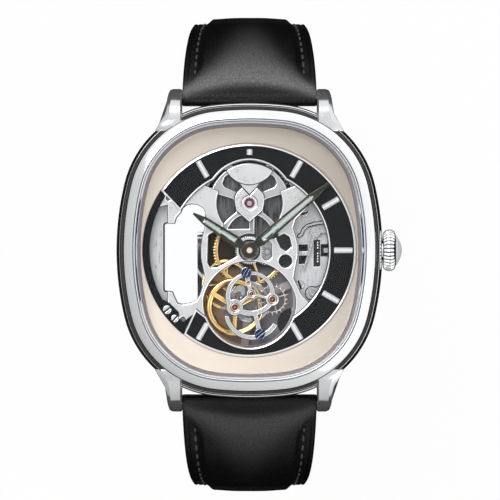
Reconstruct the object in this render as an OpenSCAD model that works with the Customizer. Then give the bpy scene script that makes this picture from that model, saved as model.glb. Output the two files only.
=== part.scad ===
// Cushion-cased wristwatch with an open dial and a flying tourbillon at 6 o'clock.
// The dial faces +Z, 12 o'clock is +Y, the crown is +X, and the case back lies on z = 0.

/* [Case] */
// Width of the case across the flanks, without the crown
case_width = 40.9; // [40:0.1:43]
// Length of the case from 12 to 6 o'clock, without the lugs
case_length = 45.4; // [44.5:0.1:47.5]
// Radius of the arcs at 3 and 9 o'clock
side_radius = 44; // [40:1:50]
// Radius of the arcs at 12 and 6 o'clock
end_radius = 52; // [46:1:58]
// Radius of the four corner arcs
corner_radius = 16; // [15:0.25:17]
// Height of the case middle, from the back face to the bezel seat
middle_height = 8.4; // [8.2:0.1:9]
// Height of the bezel above its seat
bezel_height = 1.8; // [1.6:0.1:2.4]
// Step from the flank in to the bezel's outer edge
bezel_inset = 1.15; // [0.9:0.05:1.4]
// Step from the flank in to the crystal
crystal_inset = 2.7; // [2.5:0.05:2.9]
// Step from the flank in to the case wall
wall_inset = 3.75; // [3.5:0.05:4]
// Thickness of the front crystal
crystal_t = 1.5; // [1.3:0.1:2]
// Thickness of the case back
back_t = 0.9; // [0.9:0.05:1.1]
// Radius of the window in the case back
back_window_r = 15.6; // [14.5:0.1:15.8]
// Thickness of the back crystal
back_crystal_t = 0.7; // [0.5:0.05:0.75]

/* [Lugs and strap] */
// Width of the strap between the lugs
strap_width = 20; // [18:0.5:20.5]
// Width of the strap below the case, where it bends down
strap_neck_width = 16; // [15.5:0.5:18]
// Width of the strap at the buckle
strap_end_width = 14; // [13:0.5:15]
// Thickness of the strap at its stitched edges
strap_t = 2.0; // [1.8:0.1:2.4]
// Rise of the padded middle of the strap over its edges
pad_rise = 0.65; // [0.3:0.05:0.9]
// Distance of each spring bar from the hand axis
bar_y = 23.5; // [23.4:0.1:24.5]
// Height of the spring bars
bar_z = 2.4; // [2.2:0.1:2.8]
// Radius of a spring bar
bar_r = 0.75; // [0.6:0.05:0.9]
// Radius of the strap's rolled end
roll_r = 1.3; // [1.2:0.05:1.35]
// Reach of a lug from the hand axis
lug_reach = 24.9; // [24.8:0.1:26]
// Radius of the strap's bend below the lugs
bend_radius = 19.5; // [18:0.5:21]
// Radius of the strap's lower bend
loop_radius = 27; // [25:0.5:29]
// Length of the half with the buckle
short_half = 69; // [67:0.5:70]
// Length of the half with the holes
long_half = 104; // [98:0.5:108]

/* [Crown] */
// Radius of the crown
crown_r = 3.2; // [2.8:0.1:3.4]
// Length of the crown
crown_length = 2.8; // [2.2:0.1:3.2]
// Number of ribs on the crown
crown_ribs = 32; // [24:1:40]
// Height of the stem's axis
stem_z = 4.0; // [3.9:0.05:4.1]
// Radius of the stem
stem_r = 0.6; // [0.5:0.05:0.65]

/* [Dial and hands] */
// Outer radius of the chapter ring
ring_r = 16.4; // [16.2:0.05:16.5]
// Inner radius of the chapter ring
ring_inner_r = 12.05; // [12:0.05:12.4]
// Thickness of the chapter ring
ring_t = 0.6; // [0.4:0.05:0.8]
// Width of an hour index
index_w = 0.85; // [0.6:0.05:1]
// Length of an hour index
index_length = 3.1; // [2.6:0.1:3.3]
// Length of the hour hand
hour_length = 10.4; // [9:0.1:11]
// Length of the minute hand
minute_length = 15.9; // [14:0.1:16]
// Width of the hands
hand_w = 1.15; // [0.9:0.05:1.3]
// Turn of the hour hand, clockwise from 12 o'clock
hour_turn = 303.3; // [0:0.1:360]
// Turn of the minute hand, clockwise from 12 o'clock
minute_turn = 49.6; // [0:0.1:360]

/* [Movement] */
// Radius of the main plate
plate_r = 16.6; // [16.5:0.05:16.8]
// Distance of the barrel from the hand axis
barrel_y = 7.2; // [7.1:0.05:7.3]
// Distance of the tourbillon from the hand axis
cage_y = 7.9; // [7.8:0.05:8]
// Radius of the tourbillon opening
cage_opening_r = 6.9; // [6.8:0.05:7]
// Radius of the balance rim
balance_r = 4.4; // [4:0.05:4.45]
// Radius of the escape wheel
escape_r = 2.6; // [2.4:0.05:2.7]
// Number of escape wheel teeth
escape_teeth = 20; // [15:1:20]
// Turns of the hairspring
spring_turns = 8; // [6:1:9]
// Turns of the mainspring
mainspring_turns = 6; // [5:1:8]

/* [Hidden] */

// Smoothness of round parts
$fn = 96;
// A cut runs this far past the face that it opens
past = 0.5;
// Gap between pieces that sit in one another
fit_gap = 0.03;
// Running gap of a shaft in its hole
run_gap = 0.03;

// Cushion outline: centres and turning angles of its arcs
half_w = case_width / 2;
half_l = case_length / 2;
side_cx = half_w - side_radius;
end_cy = half_l - end_radius;
centre_gap = sqrt(side_cx * side_cx + end_cy * end_cy);
side_leg = side_radius - corner_radius;
end_leg = end_radius - corner_radius;
along_gap = (side_leg * side_leg - end_leg * end_leg + centre_gap * centre_gap) / (2 * centre_gap);
across_gap = sqrt(side_leg * side_leg - along_gap * along_gap);
corner_cx = side_cx + (along_gap * (0 - side_cx) - across_gap * end_cy) / centre_gap;
corner_cy = (along_gap * end_cy + across_gap * (0 - side_cx)) / centre_gap;
side_turn = atan2(corner_cy, corner_cx - side_cx);
end_turn = atan2(corner_cy - end_cy, corner_cx);

// Heights of the case
case_floor = back_t;
bezel_z = middle_height;
bezel_top = bezel_z + bezel_height;
seat_z = bezel_z + 0.55;
gasket_t = 0.3;
crystal_z = seat_z + gasket_t;

// Heights of the movement, from the back up
wind_z = 1.35;
wind_t = 0.3;
bridge_z = 1.75;
bridge_t = 0.5;
third_z = 2.4;
centre_z = 2.75;
wheel_t = 0.2;
plate_z = 3.1;
plate_t = 1.2;
plate_top = plate_z + plate_t;
barrel_h = 1.5;
barrel_top = plate_z + barrel_h;
minute_wheel_z = plate_top + 0.4;
hour_wheel_z = plate_top + 0.7;
spider_z = 4.95;
spider_t = 0.5;
front_z = spider_z + spider_t;
front_t = 0.5;
front_top = front_z + front_t;
ring_z = front_top + 0.05;
ring_top = ring_z + ring_t;
flange_z = 6.2;
hour_hand_z = 7.3;
minute_hand_z = 7.75;
hand_t = 0.18;

// Heights of the tourbillon, from its seat in the well up
seat_t = 0.15;
fixed_z = plate_z + seat_t;
fixed_t = 0.2;
cage_z = fixed_z + fixed_t + 0.05;
cage_t = 0.2;
spring_z = cage_z + cage_t + 0.08;
spring_t = 0.12;
balance_z = spring_z + spring_t + 0.08;
balance_t = 0.3;
roller_z = balance_z + balance_t + 0.02;
roller_t = 0.08;
fork_z = roller_z + roller_t + 0.05;
fork_t = 0.14;
cage_bridge_z = 5.5;
cage_bridge_t = 0.45;
cage_top = cage_bridge_z + cage_bridge_t;

// Places of the train
barrel_at = [0, barrel_y];
cage_at = [0, -cage_y];
third_at = [-3.5, -5.3];
minute_wheel_at = [2.69, -0.24];
crown_wheel_at = [9.6, 0];

// Tooth counts
barrel_teeth = 96;
centre_pinion_teeth = 12;
centre_teeth = 75;
third_pinion_teeth = 10;
third_teeth = 80;
cage_pinion_teeth = 10;
fixed_teeth = 80;
escape_pinion_teeth = 8;
cannon_teeth = 12;
minute_wheel_teeth = 36;
minute_pinion_teeth = 10;
hour_teeth = 40;
ratchet_teeth = 66;
crown_wheel_teeth = 54;
winding_teeth = 12;
contrate_teeth = 40;

// Places in the cage, from its axis
balance_off = [-2.25, -0.82];
escape_off = [3.5, 0.38];
pallet_off = [0.3, 1.27];
pillar_off = [[-0.5, 4.47], [1.6, -4.93]];
balance_at = cage_at + balance_off;
escape_at = cage_at + escape_off;
pallet_at = cage_at + pallet_off;

// Pitch radii from centre distances
function between(a, b) = norm(b - a);
function bearing(a, b) = atan2(b[1] - a[1], b[0] - a[0]);
function share(a, b, mine, other) = between(a, b) * mine / (mine + other);
origin = [0, 0];
barrel_pitch = share(barrel_at, origin, barrel_teeth, centre_pinion_teeth);
centre_pinion_pitch = share(barrel_at, origin, centre_pinion_teeth, barrel_teeth);
centre_pitch = share(origin, third_at, centre_teeth, third_pinion_teeth);
third_pinion_pitch = share(origin, third_at, third_pinion_teeth, centre_teeth);
third_pitch = share(third_at, cage_at, third_teeth, cage_pinion_teeth);
cage_pinion_pitch = share(third_at, cage_at, cage_pinion_teeth, third_teeth);
fixed_pitch = share(cage_at, escape_at, fixed_teeth, escape_pinion_teeth);
escape_pinion_pitch = share(cage_at, escape_at, escape_pinion_teeth, fixed_teeth);
cannon_pitch = share(origin, minute_wheel_at, cannon_teeth, minute_wheel_teeth);
minute_wheel_pitch = share(origin, minute_wheel_at, minute_wheel_teeth, cannon_teeth);
minute_pinion_pitch = share(origin, minute_wheel_at, minute_pinion_teeth, hour_teeth);
hour_pitch = share(origin, minute_wheel_at, hour_teeth, minute_pinion_teeth);
ratchet_pitch = share(barrel_at, crown_wheel_at, ratchet_teeth, crown_wheel_teeth);
crown_wheel_pitch = share(barrel_at, crown_wheel_at, crown_wheel_teeth, ratchet_teeth);
winding_pitch = 1.0;
contrate_pitch = winding_pitch * contrate_teeth / winding_teeth;
winding_x = crown_wheel_at[0] + contrate_pitch;

// Strap route in the Y-Z plane: bend below the lugs, lower bend, then the flat run
bend_start = 65;
bend_end = -10;
bend_cy = bar_y - bend_radius * cos(bend_start);
bend_cz = bar_z - bend_radius * sin(bend_start);
loop_cy = bend_cy + (bend_radius - loop_radius) * cos(bend_end);
loop_cz = bend_cz + (bend_radius - loop_radius) * sin(bend_end);
flat_z = loop_cz - loop_radius;
bend_length = (bend_start - bend_end) * PI / 180 * bend_radius;
loop_length = (bend_end + 90) * PI / 180 * loop_radius;
buckle_y = loop_cy - (short_half - bend_length - loop_length);
tail_drop = strap_t + 0.2;
half_strap = strap_t / 2;

// Cushion shapes

function arc_points(centre, radius, from, to, steps) =
  [for (i = [0 : steps - 1]) let (a = from + (to - from) * i / steps)
    [centre[0] + radius * cos(a), centre[1] + radius * sin(a)]];

// One quarter of the outline, from 3 to 12 o'clock, a distance out from the flank
function quarter_points(out) = concat(
  arc_points([side_cx, 0], side_radius + out, 0, side_turn, 6),
  arc_points([corner_cx, corner_cy], corner_radius + out, side_turn, end_turn, 14),
  arc_points([0, end_cy], end_radius + out, end_turn, 90, 5)
);

function cushion_points(out) =
  let (q = quarter_points(out), n = len(q))
  concat(
    q,
    [[0, half_l + out]], [for (i = [n - 1 : -1 : 1]) [-q[i][0], q[i][1]]],
    [[-half_w - out, 0]], [for (i = [1 : n - 1]) [-q[i][0], -q[i][1]]],
    [[0, -half_l - out]], [for (i = [n - 1 : -1 : 1]) [q[i][0], -q[i][1]]]
  );

module cushion_plate(out, low, high) {
  translate([0, 0, low])
    linear_extrude(high - low)
      polygon(cushion_points(out));
}

// A solid cushion through a side profile, each point [out from the flank, height]
module cushion_loft(profile) {
  rings = [for (p = profile) [for (q = cushion_points(p[0])) [q[0], q[1], p[1]]]];
  n = len(rings[0]);
  last = (len(rings) - 1) * n;
  polyhedron(
    [for (r = rings, q = r) q],
    concat(
      [[for (k = [0 : n - 1]) k]],
      [for (i = [0 : len(rings) - 2], k = [0 : n - 1])
        let (a = i * n + k, b = i * n + (k + 1) % n)
        [a, a + n, b + n, b]],
      [[for (k = [n - 1 : -1 : 0]) last + k]]
    ),
    convexity = 4
  );
}

// A point on a corner arc, the distance out from the flank
function corner_point(out, turn) =
  [corner_cx + (corner_radius + out) * cos(turn), corner_cy + (corner_radius + out) * sin(turn)];

// Round shapes

module post(at, r, low, high) {
  translate([at[0], at[1], low])
    cylinder(r = r, h = high - low);
}

module sleeve(at, r, bore_r, low, high) {
  difference() {
    post(at, r, low, high);
    post(at, bore_r, low - past, high + past);
  }
}

// A slotted screw, head up
module slotted_screw(at, head_r, low, high, shank_r, shank_low, turn) {
  difference() {
    union() {
      post(at, head_r, low, high);
      post(at, shank_r, shank_low, low + 0.01);
    }
    translate([at[0], at[1], high])
      rotate([0, 0, turn])
        cube([3 * head_r, head_r * 0.32, (high - low) * 0.8], center = true);
  }
}

// Toothed shapes

function tooth_points(teeth, pitch_r, phase) =
  let (step = 360 / teeth, module_size = 2 * pitch_r / teeth)
  let (root = pitch_r - 1.05 * module_size, tip = pitch_r + 0.75 * module_size)
  [for (i = [0 : teeth - 1], corner = [[root, -0.24], [tip, -0.09], [tip, 0.09], [root, 0.24]])
    let (a = phase + step * (i + corner[1]))
    [corner[0] * cos(a), corner[0] * sin(a)]];

module toothed_disc(at, teeth, pitch_r, phase, low, high) {
  translate([at[0], at[1], low])
    linear_extrude(high - low)
      polygon(tooth_points(teeth, pitch_r, phase));
}

// A toothed rim with straight spokes and a hub
module spoked_gear(at, teeth, pitch_r, phase, low, high, rim, spokes, hub_r, spoke_w) {
  inner = pitch_r - rim;
  translate([at[0], at[1], low])
    linear_extrude(high - low)
      difference() {
        polygon(tooth_points(teeth, pitch_r, phase));
        difference() {
          circle(r = inner);
          circle(r = hub_r);
          for (i = [0 : spokes - 1])
            rotate(360 * i / spokes)
              translate([0, -spoke_w / 2])
                square([pitch_r, spoke_w]);
        }
      }
}

// Phase that points a tooth along a bearing, and phase that points a gap there
function tooth_to(turn) = turn;
function gap_to(turn, teeth) = turn + 180 / teeth;

// Case

flank = [
  [-1.75, case_floor], [-1.1, 1.4], [-0.5, 2.3], [-0.12, 3.3], [0, 4.4], [-0.08, 5.6], [-0.3, bezel_z - 0.9],
  [-0.45, bezel_z - 0.6], [-bezel_inset - 0.1, bezel_z - 0.42], [-bezel_inset - 0.1, bezel_z]
];

// Side view of a lug, [distance from the hand axis, height]
lug_side = [
  [14, case_floor], [bar_y - 3.2, case_floor], [bar_y - 1.2, 0.35], [lug_reach - 0.5, 0.45], [lug_reach, 1.0],
  [lug_reach - 0.15, 3.2], [lug_reach - 0.9, 5.6], [half_l - 0.1, bezel_z - 1.1],
  [half_l - 0.9, bezel_z - 0.6], [14, bezel_z - 0.6]
];
lug_inner = strap_width / 2 + 0.15;
lug_plan = [
  [lug_inner, 14], [lug_inner, lug_reach + 1], [lug_inner + 1.5, lug_reach + 1],
  [lug_inner + 1.9, lug_reach - 0.6], [lug_inner + 3.1, 21], [lug_inner + 3.6, 14]
];

module lug() {
  intersection() {
    rotate([90, 0, 90])
      linear_extrude(half_w)
        polygon(lug_side);
    linear_extrude(bezel_z)
      polygon(lug_plan);
  }
}

module at_lugs() {
  for (mx = [0, 1], my = [0, 1])
    mirror([mx, 0, 0])
      mirror([0, my, 0])
        children();
}

crown_tube_r = 1.5;
screw_turns = [side_turn + 8, end_turn - 8];
back_screw_r = 0.7;
back_screw_out = -2.75;

module at_back_screws() {
  at_lugs()
    for (turn = screw_turns)
      translate(corner_point(back_screw_out, turn))
        children();
}

module along_stem(from) {
  translate([from, 0, stem_z])
    rotate([0, 90, 0])
      children();
}

module case_body() {
  color("gainsboro")
    difference() {
      union() {
        cushion_loft(flank);
        at_lugs()
          lug();
      }
      cushion_plate(-wall_inset, -past, bezel_z + past);
      // Room for the strap's rolled ends between the lugs
      for (side = [-1, 1])
        translate([-lug_inner, side * bar_y, bar_z])
          rotate([0, 90, 0])
            cylinder(r = roll_r + 0.25, h = 2 * lug_inner);
      for (side = [-1, 1])
        translate([-half_w, side * bar_y, bar_z])
          rotate([0, 90, 0])
            cylinder(r = bar_tip_r + fit_gap, h = case_width);
      along_stem(half_w - wall_inset - past)
        cylinder(r = crown_tube_r + fit_gap, h = wall_inset + 2 * past);
      at_back_screws()
        translate([0, 0, case_floor - past])
          cylinder(r = back_screw_r * 0.5 + fit_gap, h = 1.6 + past);
    }
}

module bezel() {
  color("whitesmoke")
    difference() {
      cushion_loft([
        [-bezel_inset, bezel_z], [-bezel_inset, bezel_top - 0.75],
        [-bezel_inset - 0.18, bezel_top - 0.5], [-crystal_inset + 0.15, bezel_top]
      ]);
      cushion_plate(-crystal_inset, seat_z, bezel_top + past);
      cushion_loft([[-wall_inset, bezel_z - past], [-wall_inset, seat_z - 0.2], [-wall_inset + 0.3, seat_z + 0.1]]);
    }
}

module crystal() {
  edge = -crystal_inset - 0.05;
  bevel = 0.45;
  top = crystal_z + crystal_t;
  color([0.82, 0.9, 0.96, 0.35])
    cushion_loft([[edge, crystal_z], [edge, top - bevel], [edge - bevel, top]]);
}

module crystal_gasket() {
  color("slategray")
    difference() {
      cushion_plate(-crystal_inset - 0.05, seat_z, crystal_z);
      cushion_plate(-wall_inset + 0.35, seat_z - past, crystal_z + past);
    }
}

back_out = -1.85;
back_ledge = 0.5;

module case_back() {
  color("silver")
    difference() {
      union() {
        cushion_loft([[back_out - 0.5, 0], [back_out, 0.35], [back_out, back_t]]);
        // Spigot that centres the back and carries the casing ring
        cushion_plate(-wall_inset - fit_gap, back_t - 0.1, back_t + 0.3);
      }
      post(origin, back_window_r, -past, back_t + 1);
      post(origin, back_window_r + back_ledge, -past, back_crystal_t + fit_gap);
      at_back_screws() {
        translate([0, 0, -past])
          cylinder(r = back_screw_r * 0.5 + fit_gap, h = back_t + 2 * past);
        translate([0, 0, -past])
          cylinder(r = back_screw_r + fit_gap, h = 0.45 + past);
      }
    }
}

module back_crystal() {
  color([0.85, 0.92, 0.97, 0.35])
    post(origin, back_window_r + back_ledge - fit_gap, 0, back_crystal_t);
}

module back_screws() {
  color("lightgray")
    at_back_screws()
      difference() {
        union() {
          translate([0, 0, 0.05])
            cylinder(r = back_screw_r, h = 0.4);
          cylinder(r = back_screw_r * 0.5, h = back_t + 1);
        }
        cube([3, 0.22, 0.5], center = true);
      }
}

// Crown and keyless works

crown_x = half_w + 0.15;
stem_inner_x = 11.4;
tube_inner_x = half_w - wall_inset + 0.1;

module crown_tube() {
  color("silver")
    along_stem(tube_inner_x)
      difference() {
        cylinder(r = crown_tube_r, h = crown_x + 0.5 - tube_inner_x);
        translate([0, 0, -past])
          cylinder(r = stem_r + run_gap + 0.1, h = 10);
      }
}

module crown() {
  body_l = crown_length * 0.62;
  color("whitesmoke")
    along_stem(crown_x)
      difference() {
        union() {
          cylinder(r = crown_r * 0.86, h = crown_length * 0.12);
          translate([0, 0, crown_length * 0.12])
            linear_extrude(body_l)
              difference() {
                circle(r = crown_r);
                for (i = [0 : crown_ribs - 1])
                  rotate(360 * i / crown_ribs)
                    translate([crown_r + 0.08, 0])
                      circle(r = 0.2, $fn = 8);
              }
          translate([0, 0, crown_length * 0.12 + body_l])
            rotate_extrude()
              polygon([
                [0, 0], [crown_r - 0.15, 0], [crown_r - 0.3, 0.22], [crown_r - 0.8, 0.4],
                [crown_r - 1.8, 0.58], [0, crown_length * 0.26]
              ]);
        }
        translate([0, 0, -past])
          cylinder(r = crown_tube_r + run_gap + 0.1, h = 0.75 + past);
        translate([0, 0, -past])
          cylinder(r = stem_r + fit_gap, h = 1.8 + past);
      }
}

module winding_stem() {
  stem_end = crown_x + 1.75;
  square_end = winding_x + 0.7;
  color("darkgray")
    difference() {
      union() {
        along_stem(square_end - 0.1)
          cylinder(r = stem_r, h = stem_end - square_end + 0.1);
        // Square that slides in the winding pinion
        translate([stem_inner_x, -stem_square / 2, stem_z - stem_square / 2])
          cube([square_end - stem_inner_x, stem_square, stem_square]);
      }
      // Groove for the pin of the setting lever
      along_stem(groove_x - lever_pin_r - 0.08)
        difference() {
          cylinder(r = stem_r + past, h = 2 * lever_pin_r + 0.16);
          cylinder(r = groove_r, h = 2 * lever_pin_r + 0.16);
        }
    }
}

module winding_pinion() {
  face_w = 0.7;
  square_gap = 0.05;
  color("gray")
    translate([winding_x - face_w / 2, 0, stem_z])
      rotate([0, 90, 0])
        difference() {
          union() {
            linear_extrude(face_w)
              polygon(tooth_points(winding_teeth, winding_pitch, tooth_to(0)));
            translate([0, 0, face_w - 0.01])
              cylinder(r = 0.75, h = 0.25);
          }
          translate([0, 0, 2])
            cube([stem_square + 2 * square_gap, stem_square + 2 * square_gap, 6], center = true);
        }
}

module crown_wheel() {
  low = stem_z - winding_pitch - 0.25;
  rib_w = 0.2;
  color("darkgray") {
    difference() {
      union() {
        toothed_disc(crown_wheel_at, crown_wheel_teeth, crown_wheel_pitch,
          gap_to(bearing(crown_wheel_at, barrel_at), crown_wheel_teeth), wind_z, wind_z + wind_t);
        sleeve(crown_wheel_at, contrate_pitch + 0.25, contrate_pitch - 0.25, wind_z, low);
        // Face teeth that the winding pinion turns
        for (i = [0 : contrate_teeth - 1])
          translate([crown_wheel_at[0], crown_wheel_at[1], low - 0.02])
            rotate([0, 0, 360 * (i + 0.5) / contrate_teeth])
              translate([contrate_pitch - 0.22, -rib_w / 2, 0])
                cube([0.44, rib_w, 0.28]);
      }
      post(crown_wheel_at, 1.0 + run_gap, wind_z - past, wind_z + 2);
    }
  }
}

module ratchet_wheel() {
  color("lightgray") {
    difference() {
      toothed_disc(barrel_at, ratchet_teeth, ratchet_pitch,
        tooth_to(bearing(barrel_at, crown_wheel_at)), wind_z, wind_z + wind_t);
      for (i = [0 : 4])
        rotate_about(barrel_at, 72 * i)
          post(barrel_at + [4.1, 0], 1.1, wind_z - past, wind_z + 1);
    }
    // Barrel arbor
    post(barrel_at, 0.6, wind_z + wind_t - 0.01, bridge_z + bridge_t + 0.3);
    post(barrel_at, 1.2, bridge_z + bridge_t + 0.3, barrel_top - 0.4);
    post(barrel_at, 0.35, barrel_top - 0.41, spider_z + spider_t + 0.35);
  }
}

module rotate_about(at, turn) {
  translate([at[0], at[1], 0])
    rotate([0, 0, turn])
      translate([-at[0], -at[1], 0])
        children();
}

click_at = [-7.9, 10.6];
click_gap = 0.06;

module click() {
  reach = between(click_at, barrel_at) - ratchet_pitch - 0.2 - click_gap;
  color("silver")
    difference() {
      rotate_about(click_at, bearing(click_at, barrel_at))
        translate([click_at[0], click_at[1], wind_z])
          linear_extrude(wind_t)
            difference() {
              union() {
                circle(r = 0.95);
                polygon([
                  [-2.6, 0.1], [-0.6, -0.3], [0, -0.8], [reach, -0.15], [reach, 0.25], [reach * 0.7, 0.75],
                  [-0.4, 0.8], [-2.6, 0.5]
                ]);
              }
              circle(r = 0.4 + run_gap);
            }
    }
}

// Setting lever: one arm has the pin in the stem's groove, the other is a hook
groove_x = winding_x + 1.25;
groove_r = 0.3;
lever_pin_r = 0.25;
lever_arm = 3.5;
lever_at = [groove_x, lever_arm];
lever_z = plate_top + 0.35;
lever_t = 0.3;
stem_square = 0.72;

module setting_lever() {
  hook = [lever_at, [11.2, 3.0], [10.1, 2.8], [9.6, 1.5], [9.2, -0.3], [8.3, -2.9]];
  color("silver")
    difference() {
      union() {
        translate([0, 0, lever_z])
          linear_extrude(lever_t) {
            for (i = [0 : len(hook) - 2])
              strut(hook[i], hook[i + 1], 0.75 - 0.1 * i);
            strut(lever_at, [groove_x, 0], 0.6);
            translate(lever_at)
              circle(r = 0.85);
            translate(hook[2])
              circle(r = 0.85);
          }
        post([groove_x, 0], lever_pin_r, stem_z + groove_r + 0.05, lever_z + 0.01);
      }
      post(lever_at, 0.45 + run_gap, lever_z - 1, lever_z + 1);
    }
}

// Springs and cover of the keyless works
module keyless_springs() {
  spring = [[7.6, 2.2], [8.0, 2.5], [8.3, 3.2], [8.9, 3.75], [9.9, 4.1], [11.2, 4.25], [12.0, 5.0]];
  last = len(spring) - 1;
  cover = [[9.6, -6.6], [12.2, -5.4]];
  color("lightgray") {
    translate([0, 0, lever_z])
      linear_extrude(lever_t) {
        for (i = [0 : len(spring) - 2])
          strut(spring[i], spring[i + 1], 0.4);
        strut(cover[0], cover[1], 1.2);
        translate(cover[0])
          circle(r = 1.0);
      }
    for (at = [spring[last], cover[0], cover[1]])
      post(at, 0.5, plate_top, lever_z + lever_t + 0.1);
    post(spring[last], 0.6, lever_z, lever_z + lever_t);
  }
}

// Strap

function ease(t) = t <= 0 ? 0 : t >= 1 ? 1 : (1 - cos(180 * t)) / 2;

// Place and outward turn along a half of the strap. The turn is that of its outer face.
function route(s, outer) =
  s < bend_length
    ? let (a = bend_start - s / bend_radius * 180 / PI)
      [bend_cy + bend_radius * cos(a), bend_cz + bend_radius * sin(a), a]
  : s < bend_length + loop_length
    ? let (a = bend_end - (s - bend_length) / loop_radius * 180 / PI)
      [loop_cy + loop_radius * cos(a), loop_cz + loop_radius * sin(a), a]
  : let (run = s - bend_length - loop_length, flat = loop_cy * 2)
    !outer
      ? [loop_cy - run, flat_z, -90]
    : run < flat
      ? [loop_cy - run, flat_z - tail_drop * ease(run / cross_length), -90]
      : let (a = -90 - (run - flat) / (loop_radius + tail_drop) * 180 / PI)
        [-loop_cy + (loop_radius + tail_drop) * cos(a), loop_cz + (loop_radius + tail_drop) * sin(a), a];

// The strap narrows in a curve to its neck, then gently to the buckle
neck_at = 19;
narrow_over = 22;
function strap_half_width(s) =
  s < neck_at
    ? strap_neck_width / 2 + (strap_width - strap_neck_width) / 2 * pow(1 - s / neck_at, 1.3)
  : strap_neck_width / 2 - (strap_neck_width - strap_end_width) / 2 * ease((s - neck_at) / narrow_over);

// Section of the strap as [across, out], with a padded middle between flat edges
function section(w, pad) =
  let (k = min(1, w / 6), high = half_strap + pad)
  let (side = [
    [-w, 0], [-w + 0.25 * k, half_strap * 0.85], [-w + 0.6 * k, half_strap],
    [-w + 2.1 * k, half_strap], [-w + 3.1 * k, high - pad * 0.25], [-w + 4.6 * k, high]
  ])
  concat(
    side,
    [for (i = [5 : -1 : 0]) [-side[i][0], side[i][1]]],
    [[w - 0.25 * k, -half_strap * 0.9], [-w + 0.25 * k, -half_strap * 0.9]]
  );

// A half of the strap, swept along its route from one length to another
module strap_sweep(from, to, steps, outer, tip) {
  rings = [for (i = [0 : steps])
    let (s = from + (to - from) * i / steps)
    let (left = to - s, narrow = tip > 0 && left < tip ? sqrt(1 - pow(1 - left / tip, 2)) * 0.62 + 0.38 : 1)
    let (place = route(s, outer), pad = pad_rise * ease(s / 4) * (1 - ease((s - 20) / 12)))
    [for (p = section(strap_half_width(s) * narrow, pad))
      [p[0], place[0] + p[1] * cos(place[2]), place[1] + p[1] * sin(place[2])]]];
  n = len(rings[0]);
  points = [for (r = rings, p = r) p];
  faces = concat(
    [[for (k = [0 : n - 1]) k]],
    [for (i = [0 : steps - 1], k = [0 : n - 1])
      let (a = i * n + k, b = i * n + (k + 1) % n)
      each [[a, a + n, b + n], [a, b + n, b]]],
    [[for (k = [n - 1 : -1 : 0]) steps * n + k]]
  );
  polyhedron(points, faces, convexity = 8);
}

// Run over which the holed half passes outside the other half
cross_length = loop_cy + buckle_y - 1.3;
frame_l = 11;
outer_bar_r = 1.1;
keeper_t = 0.8;
keeper_gap = 0.15;
keeper_outer = loop_radius + tail_drop + half_strap + keeper_gap + keeper_t;
rest_turn = 80;
rest_z = loop_cz - keeper_outer * sin(rest_turn);
outer_bar_y = buckle_y - frame_l;
outer_bar_z = rest_z + outer_bar_r;
tongue_r = 0.55;
tongue_tip_z = rest_z + tongue_r;
tongue_tip_y = outer_bar_y - 0.6;

module roll_bore(y, z, r) {
  translate([-strap_width, y, z])
    rotate([0, 90, 0])
      cylinder(r = r, h = 2 * strap_width);
}

module strap_upper() {
  color([0.1, 0.1, 0.11])
    difference() {
      union() {
        strap_sweep(0.4, short_half, 40, false, 0);
        translate([-strap_width / 2, bar_y, bar_z])
          rotate([0, 90, 0])
            cylinder(r = roll_r, h = strap_width);
      }
      roll_bore(bar_y, bar_z, bar_r + fit_gap);
      roll_bore(buckle_y, flat_z, buckle_bar_r + run_gap);
      // Slot for the root of the tongue
      translate([-1.2, buckle_y - 4, flat_z - 3])
        cube([2.4, 6, 6]);
    }
}

hole_pitch = 6.5;

module strap_lower() {
  color([0.1, 0.1, 0.11])
    difference() {
      mirror([0, 1, 0])
        union() {
          strap_sweep(0.4, long_half, 56, true, 7);
          translate([-strap_width / 2, bar_y, bar_z])
            rotate([0, 90, 0])
              cylinder(r = roll_r, h = strap_width);
        }
      roll_bore(-bar_y, bar_z, bar_r + fit_gap);
      // Holes for the tongue
      for (i = [-2, -1, 2, 3])
        let (place = route(bend_length + loop_length + 9 + i * hole_pitch, true))
          translate([0, -place[0], place[1]])
            rotate([90 - place[2], 0, 0])
              cylinder(r = 0.8, h = 2 * strap_t, center = true);
      // The hole in use, drawn out along the tongue and its swing
      for (turn = [0, tongue_swing / 2, tongue_swing])
        tongue_path(0.9, turn);
    }
}

bar_tip_r = 0.4;

module spring_bars() {
  color("silver")
    for (side = [-1, 1])
      translate([-lug_inner + 0.02, side * bar_y, bar_z])
        rotate([0, 90, 0]) {
          cylinder(r = bar_r, h = 2 * lug_inner - 0.04);
          translate([0, 0, -1])
            cylinder(r = bar_tip_r, h = 2 * lug_inner + 1.96);
        }
}

// Buckle

buckle_bar_r = 0.55;
frame_half = strap_end_width / 2 + 0.3;
frame_t = 1.3;

module buckle_frame() {
  color("whitesmoke")
    difference() {
      union() {
        translate([-frame_half - frame_t, outer_bar_y, outer_bar_z])
          rotate([0, 90, 0])
            cylinder(r = outer_bar_r, h = 2 * (frame_half + frame_t));
        for (side = [-1, 1])
          translate([side * (frame_half + frame_t / 2) - frame_t / 2, 0, 0])
            hull() {
              translate([0, buckle_y, flat_z])
                rotate([0, 90, 0])
                  cylinder(r = 1.1, h = frame_t, $fn = 32);
              translate([0, outer_bar_y, outer_bar_z])
                rotate([0, 90, 0])
                  cylinder(r = outer_bar_r, h = frame_t, $fn = 32);
            }
      }
      roll_bore(buckle_y, flat_z, buckle_bar_r + fit_gap);
      // Notch that takes the tip of the tongue
      translate([0, tongue_tip_y, tongue_tip_z])
        rotate([atan2(flat_z - 0.2 - tongue_tip_z, buckle_y - 0.6 - tongue_tip_y), 0, 0])
          translate([-0.8, -2, -3])
            cube([1.6, 5, 3 + tongue_r + 0.12]);
    }
}

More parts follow.
